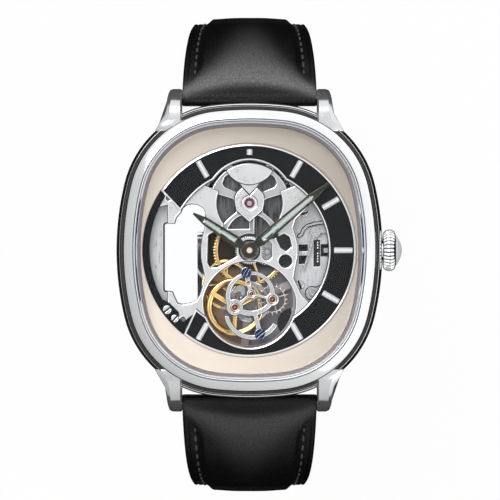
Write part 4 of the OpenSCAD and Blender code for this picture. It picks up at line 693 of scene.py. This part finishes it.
# the flank from below to the bezel seat: out from the flank, its height, and its height between the lugs
flank = [(-1.75, 0.9, 0.9), (-1.45, 1.15, 1.15), (-1.1, 1.4, 1.4), (-0.78, 1.82, 1.82), (-0.5, 2.3, 2.3),
         (-0.28, 2.8, 2.8), (-0.12, 3.3, 3.3), (-0.03, 3.85, 3.85), (0, 4.4, 4.4), (-0.03, 5, 5.4), (-0.08, 5.6, 6.6),
         (-0.17, 6.5, 7.15),
         (-0.3, 7.3, 7.28), (-0.44, 7.62, 7.36), (-0.5, 7.72, 7.44), (-0.58, 7.78, 7.55), (-0.63, 7.76, 7.58),
         (-0.7, 7.55, 7.4), (-1.24, 7.55, 7.4), (-1.25, 8.05, 8.05), (-1.25, 8.4, 8.4), (-3.75, 8.4, 8.4),
         (-3.75, 0.9, 0.9)]
GROOVE_FROM, GROOVE_TO = 16, 18
FLANK_FINE = 3
# between the lugs, past one y and within one x, the shoulder lies flatter, with a change this wide
SHOULDER_Y, SHOULDER_X, SHOULDER_EASE = 15, 13.2, 3


def case_middle():
    """The case middle with a groove under the bezel, painted dark as shade."""
    rings = []
    for u, z, z_between in flank:
        ring = []
        for x, y in cushion(u, FLANK_FINE):
            between = ease((SHOULDER_X - abs(x)) / SHOULDER_EASE) if abs(y) > SHOULDER_Y else 0
            ring.append((x, y, z + (z_between - z) * between))
        rings.append(ring)
    bm = skin(rings, loop=True)
    around = len(rings[0])
    paint(bm, around, GROOVE_FROM, GROOVE_TO, 1)
    finish_mesh("case_middle", bm, [POLISHED, SHADED_STEEL], "case_body", angle=40)


case_middle()

bezel_profile = [(-1.15, 8.4), (-1.15, 9.4), (-1.2, 9.55), (-1.33, 9.7), (-1.7, 9.87), (-2.3, 10.1), (-2.5, 10.17),
                 (-2.58, 10.18), (-2.66, 10.12), (-2.7, 10), (-2.7, 8.95), (-3.45, 8.95), (-3.75, 8.75), (-3.75, 8.4)]
LEDGE_FROM, LEDGE_TO = 10, 12
bezel = cushion_mesh(bezel_profile, loop=True)
paint(bezel, len(cushion(0)), LEDGE_FROM, LEDGE_TO, 1)
finish_mesh("bezel_ring", bezel, [BEZEL, SHADE], "bezel", angle=40)
crystal = cushion_mesh([(-2.86, 9.27), (-2.86, 10.3), (-3.25, 10.75)], caps=True)
finish_mesh("crystal_block", crystal, GLASS, "crystal", angle=20)
# the seat gasket's pale blue, seen through the crystal's bevel, is a painted glint of the crystal's edge
gasket_profile = [(-2.77, 8.97), (-2.77, 10.14), (-2.85, 10.14), (-2.85, 9.24), (-3.3, 9.24), (-3.3, 8.97)]
# the black seal lip also stands for the shadow in the gap between bezel and crystal, as painted shadow
lip_profile = [(-2.71, 9.3), (-2.71, 10.06), (-2.765, 10.06), (-2.765, 9.3)]
for name, profile, material in (("gasket_ring", gasket_profile, GASKET_GLINT), ("seal_lip", lip_profile, BLACK_SEAL_AND_SHADE)):
    finish_mesh(name, cushion_mesh(profile, loop=True), material, "crystal_gasket")

# a lug from the side as (y, z), and how far out its outer face lies at each y
lug_side = [(18.2, 1.3), (20.3, 0.9), (22.3, 0.35), (24.1, 0.4), (24.75, 0.62), (24.92, 1), (24.9, 2), (24.8, 3.2),
            (24.5, 4.4), (24, 5.6), (23.4, 6.5), (22.9, 7), (22.3, 7.4), (21.6, 7.65), (21, 7.75), (20.2, 7.8),
            (19.4, 7.8), (18.2, 7.8)]
lug_outer = [(18.2, 14.5), (19, 14.1), (19.6, 13.7), (20.2, 13.2), (20.8, 12.95), (21.6, 12.78), (23.4, 12.62),
             (24.3, 12.45), (24.95, 12.2)]
# sections across a lug: a share of its width, or a distance for the inner edge, and how far its outline is drawn in
INNER_EDGE = 0.22
lug_sections = [(0, 0.22), (INNER_EDGE, 0), (0.75, 0), (1, 0.35)]
LUG_TIP_Y, LUG_TOP_Z, LUG_FOOT_Z = 23, 3, 1.5


def lug(name, sx, sy):
    rings = []
    for part, drop in lug_sections:
        ring = []
        for y, z in lug_side:
            outer = between_points(lug_outer, y)
            x = LUG_INNER + (part if part == INNER_EDGE else (outer - LUG_INNER) * part)
            ring.append((sx * x, sy * (y - drop * 0.5 * (y > LUG_TIP_Y)),
                         z - drop * (z > LUG_TOP_Z) + drop * (z < LUG_FOOT_Z) * 0.5))
        rings.append(ring)
    bm = skin(rings, caps=True)
    bmesh.ops.recalc_face_normals(bm, faces=bm.faces)
    bevel_sharp(bm, 0.12)
    finish_mesh(name, bm, LUG_STEEL, "case_body", angle=26)


for number, (sx, sy) in enumerate([(1, 1), (-1, 1), (-1, -1), (1, -1)]):
    lug(f"lug_{number + 1}", sx, sy)

# ---- dial and plates with polished chamfers ----


def trimmed(material):
    """A finish with polished edges, and sides and outlines dark with painted shade."""
    return [material, EDGE_SILVER, PAINTED_SHADE_SIDE]


dressed("centre_bridge", trimmed(BRIDGE), [FRONT_TOP], 0.15, 0.09)
dressed("barrel_bridge", [*trimmed(SPIDER), BOSS], [SPIDER_TOP, BOSS_TOP], 0.1, 0.09,
        by_height=[(SPIDER_TOP + 0.1, 3)])
dressed("barrel_cap", trimmed(BRIDGE), [FRONT_TOP], 0.04, 0.12)
dressed("lower_ring", trimmed(RING_BLACK), [], 0.06, 0.04)
dressed("chapter_ring", [RING_BLACK, EDGE_SILVER, EDGE_SILVER], [RING_TOP], 0.16, 0.03, sides=1,
        slopes=1)
dressed("hour_indices", [INDEX, INDEX, FACET], [], 0.1, 0.1, slopes=2,
        change=lambda bm: shorten_marks(bm, 0.3, 0.7))
dressed("cage_bridge", trimmed(CAGE_STEEL), [FRONT_TOP], 0.07, 0.08, "cage")
dressed("main_plate", [*trimmed(PLATE), WELL], [PLATE_TOP], 0.03, 0.22,
        by_height=[(PLATE_TOP - 0.1, 0), (2.9, 3)])
dressed("barrel_drum", [DRUM, DRUM, PAINTED_SHADE_SIDE], [4.6], 0.05, 0.05, "barrel")
for name, top in (("hour", 7.48), ("minute", 7.93)):
    dressed(name + "_hand", [HAND, HAND_EDGE, HAND], [top], 0.035, 0.01, name + "_hand",
            change=lambda bm: widen_blade(bm, 1.5))
    lume = copy_of_node(name + "_lume")
    widen_blade(lume, 0.8)
    finish_mesh(name + "_lume_strip", lume, LUME, name + "_lume", name + "_hand")
# the lever swings over the plate, so it has no line of painted shadow at its foot
for name, body, skirt in (("setting_lever", "setting_lever", None),
                          ("keyless_springs", "case", (0.12, PLATE_TOP + 0.01))):
    dressed(name, trimmed(STEEL), [LEVER_TOP, COVER_TOP], 0, 0.035, body, skirt=skirt)
for name, level, body in (("minute_wheel", 4.9, "minute_wheel"), ("hour_wheel", 5.2, "hour_hand"),
                          ("fixed_wheel", 3.45, "case")):
    dressed(name, trimmed(STEEL_WHEEL), [level], 0.06, 0.06, body)
for name, level, body in (("centre_wheel", 2.95, "centre_wheel"), ("third_wheel", 2.6, "third_wheel"),
                          ("balance_wheel", 4.28, "balance")):
    dressed(name, [GILT, GILT_EDGE, GILT_SIDE], [level], 0.1, 0.07, body)
dressed("escape_wheel", [ESCAPE, ESCAPE_EDGE, PAINTED_SHADE_SIDE], [4.57], 0.03, 0.05, "escape")
dressed("cage_screws", [BLUED, BLUED_EDGE, PAINTED_SHADE_SIDE], [6.17], 0.05, 0.05, "cage",
        by_height=[(6.12, 0), (0, 2)], change=lambda bm: broaden_heads(bm, 5.9, 1.28))
dressed("cage_chatons", [CHATON, GILT_EDGE, GILT_SIDE], [6.05], 0.05, 0.05, "cage")
dressed("ring_screws", trimmed(BOSS), [6.5], 0.06, 0.05, by_height=[(6.45, 0), (0, 2)])
dressed("bridge_screws", trimmed(STEEL), [4.55, 1.75], 0.06, 0.07, by_height=[(4.5, 0), (4.4, 2)])


def spun(name, centre, profile, materials, indices, body="case", around=64):
    """A turned piece round an upright axis: each profile point is (radius, height)."""
    bm = skin([[(centre[0] + r * c, centre[1] + r * s, z) for c, s in circle(around)] for r, z in profile], loop=True)
    for band, index in enumerate(indices):
        paint(bm, around, band, band + 1, index)
    finish_mesh(name, bm, materials, None, body, angle=40)


def cut_plate(name, outline, low, high, material):
    """A thin flat piece with a given outline."""
    bm = skin([[(x, y, z) for x, y in outline] for z in (low, high)], caps=True)
    finish_mesh(name, bm, material, None, angle=30)


# the lower band widens under its two screws
lobe_outline = [(-13.5, -7.4), (-12.9, -7.7), (-12.2, -8.1), (-11.5, -8.8), (-10.85, -9.45), (-10.8, -10.05),
                (-11.3, -11.1), (-11.9, -10.9), (-13, -9.6)]
cut_plate("lower_ring_lobe", lobe_outline, RING_Z + 0.01, RING_Z + 0.254, RING_BLACK)
# floors in painted shade under the small windows of the bridge and in the slots of the keyless works
window_outline = [(1.8, -1), (2.8, -1.35), (3.8, -1.9), (4.6, -2.5), (6.6, -2.7), (7, -0.2), (6.5, 2.7), (3.6, 2.9),
                  (1.8, 2.2)]
cut_plate("window_floor", window_outline, PLATE_TOP - 0.02, PLATE_TOP + 0.015, RECESS_SHADE)
for number, (x, y, wide, long) in enumerate([(7.7, 0, 1.1, 0.75), (7.7, -1.95, 0.95, 1)]):
    cut_plate(f"slot_floor_{number + 1}", [(x, y), (x + wide, y), (x + wide, y + long), (x, y + long)], 3.3, 3.4, RECESS_SHADE)
# upright slot with a row of studs in it, and a gap in the row
SLOT_X, SLOT_LOW, SLOT_HIGH, SLOT_R = 10.42, -2.1, 1.3, 0.38
slot_outline = [(SLOT_X + SLOT_R * c, SLOT_HIGH + SLOT_R * s) for c, s in circle(16)[:9]]
slot_outline += [(SLOT_X + SLOT_R * c, SLOT_LOW + SLOT_R * s) for c, s in circle(16)[8:] + circle(16)[:1]]
SLOT_TOP = PLATE_TOP + 0.02
# the slot is a flat sheet painted black as its shade
cut_plate("upright_slot", slot_outline, PLATE_TOP - 0.02, SLOT_TOP, BLACK_SEAL_AND_SHADE)
STUD_X, STUD_TOP, STUD_PITCH = SLOT_X + 0.08, SLOT_HIGH - 0.1, 0.42
stud_profile = [(0.02, SLOT_TOP), (0.14, SLOT_TOP), (0.14, PLATE_TOP + 0.06), (0.1, PLATE_TOP + 0.1),
                (0.02, PLATE_TOP + 0.11)]
for number in (1, 2, 3, 5, 6, 7, 8):
    spun(f"rack_stud_{number}", (STUD_X, STUD_TOP - (number - 1) * STUD_PITCH), stud_profile, [EDGE_SILVER], [0] * 5,
         around=16)

# the balance's rim has a lower step inside
spun("balance_rim_step", (-2.25, -8.72), [(3.94, 4), (3.94, 4.24), (3.7, 4.2), (3.52, 4.08), (3.52, 4)],
     [GILT, GILT_EDGE, GILT_SIDE], [0, 0, 1, 2, 2], "balance")

# groove painted black as shade, and silver collar round the barrel's ruby
collar_profile = [(1.26, 5.85), (1.26, 5.9), (1.1, 5.9), (1.06, 5.94), (0.86, 5.95), (0.76, 5.86), (0.74, 5.7),
                  (1.24, 5.7)]
spun("barrel_ruby_collar", (0, 7.25), collar_profile, [EDGE_SILVER, PAINTED_SHADE_SIDE], [1, 1, 0, 0, 0, 1, 1, 1])

# ---- crown ----

# the crown's outline: along its axis, its radius, and how deep the ribs are cut there
crown_profile = [
    (20.5, 1.65, 0), (20.5, 2.5, 0.6), (20.54, 2.66, 1), (20.62, 2.8, 1), (20.8, 2.98, 1), (21.05, 3.12, 1),
    (21.35, 3.2, 1), (21.65, 3.21, 1), (21.92, 3.14, 1), (22.15, 3, 1), (22.32, 2.82, 1), (22.41, 2.6, 0.8),
    (22.44, 2.44, 0), (22.48, 2.36, 0), (22.52, 2.36, 0), (22.75, 2.04, 0), (22.98, 1.66, 0), (23.18, 1.24, 0),
    (23.33, 0.8, 0), (23.42, 0.36, 0), (23.45, 0.05, 0)]
RIBS, RIB_STEPS, RIB_DEPTH, RIB_FORM = 30, 12, 0.34, 1.3
# bands of faces along the crown: ribbed ones, the collar in painted shade, the dome. A valley, also in painted shade,
# starts at this part of a rib
COLLAR_FROM, DOME_FROM, VALLEY_FROM = 11, 13, 0.41


def crown():
    """Rounded ribs with valleys in painted shade round a swelling rim, a collar in painted shade and a smooth dome."""
    around = RIBS * RIB_STEPS
    rings = []
    for x, r, ribbed in crown_profile:
        ring = []
        for k in range(around):
            a = 2 * pi * k / around
            dip = RIB_DEPTH * ribbed * (1 - abs(sin(a * RIBS / 2))) ** RIB_FORM
            ring.append((x, (r - dip) * cos(a), STEM_Z + (r - dip) * sin(a)))
        rings.append(ring)
    bm = skin(rings, caps=True)
    paint(bm, around, COLLAR_FROM, DOME_FROM, 1)
    paint(bm, around, DOME_FROM, len(rings) - 1, 2)
    for i, face in enumerate(bm.faces[:COLLAR_FROM * around]):
        if abs((i % around + 0.5) / RIB_STEPS % 1 - 0.5) > VALLEY_FROM:
            face.material_index = 1
    bm.faces[-1].material_index = 2
    finish_mesh("crown_ribbed", bm, [POLISHED, SHADED_STEEL, DOME], "crown", "crown", angle=60)


crown()

# ---- strap ----

# the strap leaves the bar at one turn, goes over to the loop's arc at another, and lies flat at the third
BAR_TURN, LOOP_TURN, FLAT_TURN = radians(65), radians(-10), radians(-90)
BEND_CY = BAR_Y - BEND_R * cos(BAR_TURN)
BEND_CZ = BAR_Z - BEND_R * sin(BAR_TURN)
LOOP_CY = BEND_CY + (BEND_R - LOOP_R) * cos(LOOP_TURN)
LOOP_CZ = BEND_CZ + (BEND_R - LOOP_R) * sin(LOOP_TURN)
FLAT_Z = LOOP_CZ - LOOP_R
BEND_L = radians(75) * BEND_R
LOOP_L = radians(80) * LOOP_R
BUCKLE_Y = LOOP_CY - (SHORT_HALF - BEND_L - LOOP_L)
TAIL_DROP = STRAP_T + 0.2
CROSS_L = LOOP_CY + BUCKLE_Y - 1.3
HALF_T = STRAP_T / 2
ROLL_R = 1.32
# the worn strap bellies out a little more towards 6 o'clock
BULGE_12, BULGE_6 = 0.1, 1.45
STITCH_IN, CREASE_IN = 1.85, 0.78
EDGE_ROUND, EDGE_THIN = 0.45, 0.25
CREASE_DEEP, CREASE_WIDE, CHANNEL_DEEP, CHANNEL_WIDE = 0.14, 0.12, 0.12, 0.2
STITCH_START, STITCH_PITCH, STITCH_GAP, THREAD_WIDE, THREAD_SUNK = 3.2, 1.6, 0.28, 0.38, 0.11
START = -2.9
# distances in from the edge at which the outer face has points
ACROSS = [0, 0.06, 0.15, 0.3, 0.45, 0.58, 0.68, 0.78, 0.88, 1, 1.25, 1.5, 1.67, 1.85, 2.03, 2.2, 2.4, 2.6, 2.8, 3,
          3.3, 3.8, 4.4, 5.2, 6.2, 7.4]


def route(s, outer):
    """Centre of the strap in the Y-Z plane and the turn of its outer face, a length from the bar."""
    if s < 0:
        return BAR_Y, BAR_Z, BAR_TURN - s / ROLL_R
    y, z, turn = plain_route(s, outer)
    bulge = (BULGE_6 if outer else BULGE_12) * ease(s / 12) * (1 - ease((s - 30) / 25))
    return y + bulge * cos(turn), z + bulge * sin(turn), turn


def plain_route(s, outer):
    if s < BEND_L:
        a = BAR_TURN - s / BEND_R
        return BEND_CY + BEND_R * cos(a), BEND_CZ + BEND_R * sin(a), a
    if s < BEND_L + LOOP_L:
        a = LOOP_TURN - (s - BEND_L) / LOOP_R
        return LOOP_CY + LOOP_R * cos(a), LOOP_CZ + LOOP_R * sin(a), a
    run, flat = s - BEND_L - LOOP_L, 2 * LOOP_CY
    if not outer:
        return LOOP_CY - run, FLAT_Z, FLAT_TURN
    if run < flat:
        return LOOP_CY - run, FLAT_Z - TAIL_DROP * ease(run / CROSS_L), FLAT_TURN
    r = LOOP_R + TAIL_DROP
    a = FLAT_TURN - (run - flat) / r
    return -LOOP_CY + r * cos(a), LOOP_CZ + r * sin(a), a


def half_width(s):
    if s < NECK_AT:
        return STRAP_NECK_W / 2 + (STRAP_W - STRAP_NECK_W) / 2 * (1 - (max(0, s) / NECK_AT) ** 1.6)
    return STRAP_NECK_W / 2 - (STRAP_NECK_W - STRAP_END_W) / 2 * ease((s - NECK_AT) / NARROW_OVER)


def top_height(d, pad, s):
    """Height of the outer face, a distance in from the edge. The pad runs out to the edge at the lugs."""
    h = HALF_T
    if d < EDGE_ROUND:
        h *= EDGE_THIN + (1 - EDGE_THIN) * sqrt(max(0, 1 - (1 - d / EDGE_ROUND) ** 2))
    free = ease((s - 1.2) / 2.4)
    h -= CREASE_DEEP * free * exp(-((d - CREASE_IN) / CREASE_WIDE) ** 2)
    h -= CHANNEL_DEEP * free * exp(-((d - STITCH_IN) / CHANNEL_WIDE) ** 2)
    edge = 0.3 + 1.8 * ease((s - 0.8) / 4.2)
    return h + pad * (0.78 * ease((d - edge) / 1.2) + 0.22 * ease((d - edge - 0.6) / 4.5))


def strap_half(name, node_name, length, rings, outer, tip, flip):
    skins = []
    for i in range(rings + 1):
        s = START + (length - START) * i / rings if i > 14 else START * (1 - i / 7)
        left = length - s
        narrow = sqrt(max(0, 1 - (1 - left / tip) ** 2)) * 0.62 + 0.38 if tip and left < tip else 1
        w = half_width(s) * narrow
        y, z, turn = route(s, outer)
        pad = PAD_RISE * ease((s - 0.4) / 3.6) * (1 - ease((s - 28) / 12))
        over_bar = 0.32 * (1 - ease(s / 3))
        under = HALF_T * min(1, max(0.1, s))
        k = min(1, w / (ACROSS[-1] + 0.2))
        points = [(-w + d * k, top_height(d, pad, s) + over_bar * ease(d / 0.5)) for d in ACROSS]
        points += [(-u, h) for u, h in reversed(points)]
        points += [(u, -under * part) for u, part in ((w - 0.12, 0.75), (w - 0.4, 0.97), (w * 0.5, 1), (-w * 0.5, 1),
                                                      (-w + 0.4, 0.97), (-w + 0.12, 0.75))]
        skins.append([(u, flip * (y + h * cos(turn)), z + h * sin(turn)) for u, h in points])
    bm = skin(skins, caps=True)
    bm.faces.ensure_lookup_table()
    around, top = len(skins[0]), 2 * len(ACROSS)
    for i, face in enumerate(bm.faces[:rings * around]):
        face.material_index = 1 if top + 1 < i % around < around - 1 else 0
    # rolled end round the spring bar
    half_roll = [(0, 0.85), (0, 1.15), (0.12, 1.27), (0.3, 1.3)]
    roll = [(-STRAP_W / 2 + d, r) for d, r in half_roll] + [(STRAP_W / 2 - d, r) for d, r in reversed(half_roll)]
    add_rings(bm, [[(u, flip * (BAR_Y + r * c), BAR_Z + r * s) for c, s in circle(40)] for u, r in roll], loop=True)
    finish_mesh(name, bm, [CALF, LINING], node_name, angle=50)


strap_half("strap_half_12", "strap_upper", SHORT_HALF, 150, False, 0, 1)
strap_half("strap_half_6", "strap_lower", LONG_HALF, 220, True, 7, -1)


def add_stitch(bm, a, b, lift):
    """A thread from a to b that dips into the leather at its ends."""
    along = b - a
    side = along.normalized().cross(lift).normalized()
    rings = []
    for i in range(7):
        t = i / 6
        centre = a + along * t + lift * (0.16 * sin(pi * t) ** 0.5 - 0.08)
        r = THREAD_WIDE / 2 * (0.55 + 0.45 * sin(pi * t) ** 0.5)
        rings.append([centre + side * r * c + lift * r * 0.8 * s for c, s in circle(8)])
    add_rings(bm, rings, caps=True)


def stitch_rows(name, node_name, stop, outer, flip):
    bm = bmesh.new()
    for side in (-1, 1):
        for i in range(int((stop - STITCH_START) / STITCH_PITCH)):
            ends = []
            start = STITCH_START + i * STITCH_PITCH
            for s in (start + STITCH_GAP, start + STITCH_PITCH - STITCH_GAP):
                y, z, turn = route(s, outer)
                u, h = side * (half_width(s) - STITCH_IN), HALF_T - THREAD_SUNK
                ends.append(Vector((u, flip * (y + h * cos(turn)), z + h * sin(turn))))
            turn = route(start + STITCH_PITCH / 2, outer)[2]
            add_stitch(bm, *ends, Vector((0, flip * cos(turn), sin(turn))))
    finish_mesh(name, bm, THREAD, node_name, angle=60)


stitch_rows("stitches_12", "strap_upper", SHORT_HALF - 3, False, 1)
stitch_rows("stitches_6", "strap_lower", LONG_HALF - 7, True, -1)


def keeper(name, node_name, middle_turn, body):
    """A leather band round both layers of the strap."""
    bm = bmesh.new()
    inner_r, outer_r = LOOP_R - HALF_T - 0.15, LOOP_R + TAIL_DROP + HALF_T + 0.15
    half, t, steps = STRAP_END_W / 2 + 0.2, 0.8, 12
    corners = [(-half, inner_r), (half, inner_r), (half, outer_r), (-half, outer_r)]
    middle_r = (inner_r + outer_r) / 2
    inner, outer = [], []
    for i in range(steps + 1):
        a = radians(middle_turn + 10 * (i / steps - 0.5))
        swell = t * (0.86 + 0.14 * sin(pi * i / steps) ** 0.4)
        for skin, grown in ((inner, 0), (outer, swell)):
            sized = [(u + copysign(grown, u), r + copysign(grown, r - middle_r)) for u, r in corners]
            skin.append([(u, LOOP_CY + r * cos(a), LOOP_CZ + r * sin(a)) for u, r in sized])
    made_in, made_out = add_rings(bm, inner), add_rings(bm, outer)
    for end in (0, -1):
        for k in range(4):
            bm.faces.new((made_in[end][k], made_out[end][k], made_out[end][(k + 1) % 4], made_in[end][(k + 1) % 4]))
    bmesh.ops.recalc_face_normals(bm, faces=bm.faces)
    bevel_sharp(bm, 0.16)
    finish_mesh(name, bm, CALF, node_name, body, angle=40)


keeper("keeper_band_fixed", "keeper_fixed", -75, "case")
keeper("keeper_band_free", "keeper_free", -54, "keeper_free")

for name, body in (("buckle_frame", "case"), ("buckle_tongue", "buckle_tongue")):
    finish_mesh(name + "_finished", copy_of_node(name), POLISHED, name, body, angle=40)

# ---- studio ----

FLOOR_HALF, FLOOR_WHITE = 3, 0.97


def floor_material():
    material, tree, shader, place = new_material("studio floor")
    speck = noise(place, 30, 2)
    matte = flow(tree, "ShaderNodeBsdfDiffuse", Color=ramp(speck, [(0.3, 0.93), (0.7, 0.95)]))
    white = flow(tree, "ShaderNodeEmission")
    seen = mix_shaders(tree, any_ray(tree, "Camera"), matte, mix_shaders(tree, FLOOR_WHITE, matte, white))
    show(tree, mix_shaders(tree, any_ray(tree, "Glossy", "Transmission"), seen, white))
    return material


floor = bmesh.new()
floor.faces.new([floor.verts.new((x * FLOOR_HALF, y * FLOOR_HALF, FLOOR_Z * MM))
                 for x, y in ((-1, -1), (1, -1), (1, 1), (-1, 1))])
mesh_object("floor", floor, floor_material())

# rings of the flag as (radius, height): round the watch, and low over the floor
FLAG_STEPS = 64
flag_levels = [[(19, -9), (60, -8), (170, 24)], [(30, FLOOR_Z + 0.6), (110, FLOOR_Z + 0.7)]]


def black_flag():
    """A black flag low round the watch: polished flanks mirror it from above, and nothing else sees it."""
    material, tree, shader, place = new_material("black flag")
    fill(shader, Base_Color=(0.015, 0.015, 0.017, 1), Roughness=0.9, Specular_IOR_Level=0)
    behind = flow(tree, "ShaderNodeNewGeometry", output="Backfacing")
    show(tree, mix_shaders(tree, behind, Value(shader.outputs[0]), flow(tree, "ShaderNodeBsdfTransparent")))
    bm = bmesh.new()
    for levels in flag_levels:
        add_rings(bm, [[(r * c, r * s, z) for c, s in circle(FLAG_STEPS)] for r, z in levels])
    bm.normal_update()
    if next(iter(bm.faces)).normal.z < 0:
        bmesh.ops.reverse_faces(bm, faces=bm.faces)
    flag = mesh_object("black_flag", bm, material)
    for ray in ("camera", "diffuse", "transmission", "shadow", "volume_scatter"):
        setattr(flag, "visible_" + ray, False)


black_flag()


# round softboxes that look at the dial's middle
SOFTBOX = 0.4
for name, place, watts in (("key softbox", (-0.2, 0.32, 0.5), 1.7), ("fill softbox", (0.35, -0.2, 0.45), 0.5)):
    light = bpy.data.lights.new(name, "AREA")
    light.shape, light.size, light.energy = "DISK", SOFTBOX, watts
    lamp = new_object(name, light)
    lamp.location = place
    lamp.rotation_euler = (-Vector(place)).to_track_quat("-Z", "Y").to_euler()

# strength of the white studio: for soft light, and in mirrors at the middle, towards 3 and towards 12 o'clock
SOFT, MIRRORED, TOWARDS_3, TOWARDS_12 = 0.48, 0.94, 0.3, 0.27


def world():
    """A white studio: polished pieces see it brighter towards 12 and 3 o'clock."""
    made = bpy.data.worlds.new("white studio")
    bpy.context.scene.world = made
    made.use_nodes = True
    tree = made.node_tree
    tree.nodes.clear()
    x, y, unused = parts(flow(tree, "ShaderNodeTexCoord", output="Generated"))
    white = flow(tree, "ShaderNodeBackground", Color=(1, 1, 1, 1))
    soft = flow(tree, "ShaderNodeBackground", Color=(0.97, 0.98, 1, 1), Strength=SOFT)
    mirrored = x * TOWARDS_3 + y * TOWARDS_12 + MIRRORED
    uneven = flow(tree, "ShaderNodeBackground", Color=(1, 1, 1, 1), Strength=mirrored)
    lit = mix_shaders(tree, any_ray(tree, "Glossy"), soft, uneven)
    node(tree, "ShaderNodeOutputWorld", Surface=mix_shaders(tree, any_ray(tree, "Camera", "Transmission"), lit, white))


world()
bpy.context.scene.view_settings.view_transform = "Standard"

CAMERA_X, CAMERA_Y, CAMERA_UP, FRAME_W, SUBJECT_Z, SENSOR = 0.076, 0.046, 600, 76.35, 8.5, 36
camera = bpy.data.cameras.new("camera")
camera.sensor_width = SENSOR
camera.lens = SENSOR * CAMERA_UP / FRAME_W
camera.clip_start = 0.01
camera_object = new_object("camera", camera)
camera_object.location = (CAMERA_X * MM, CAMERA_Y * MM, (SUBJECT_Z + CAMERA_UP) * MM)
bpy.context.scene.camera = camera_object
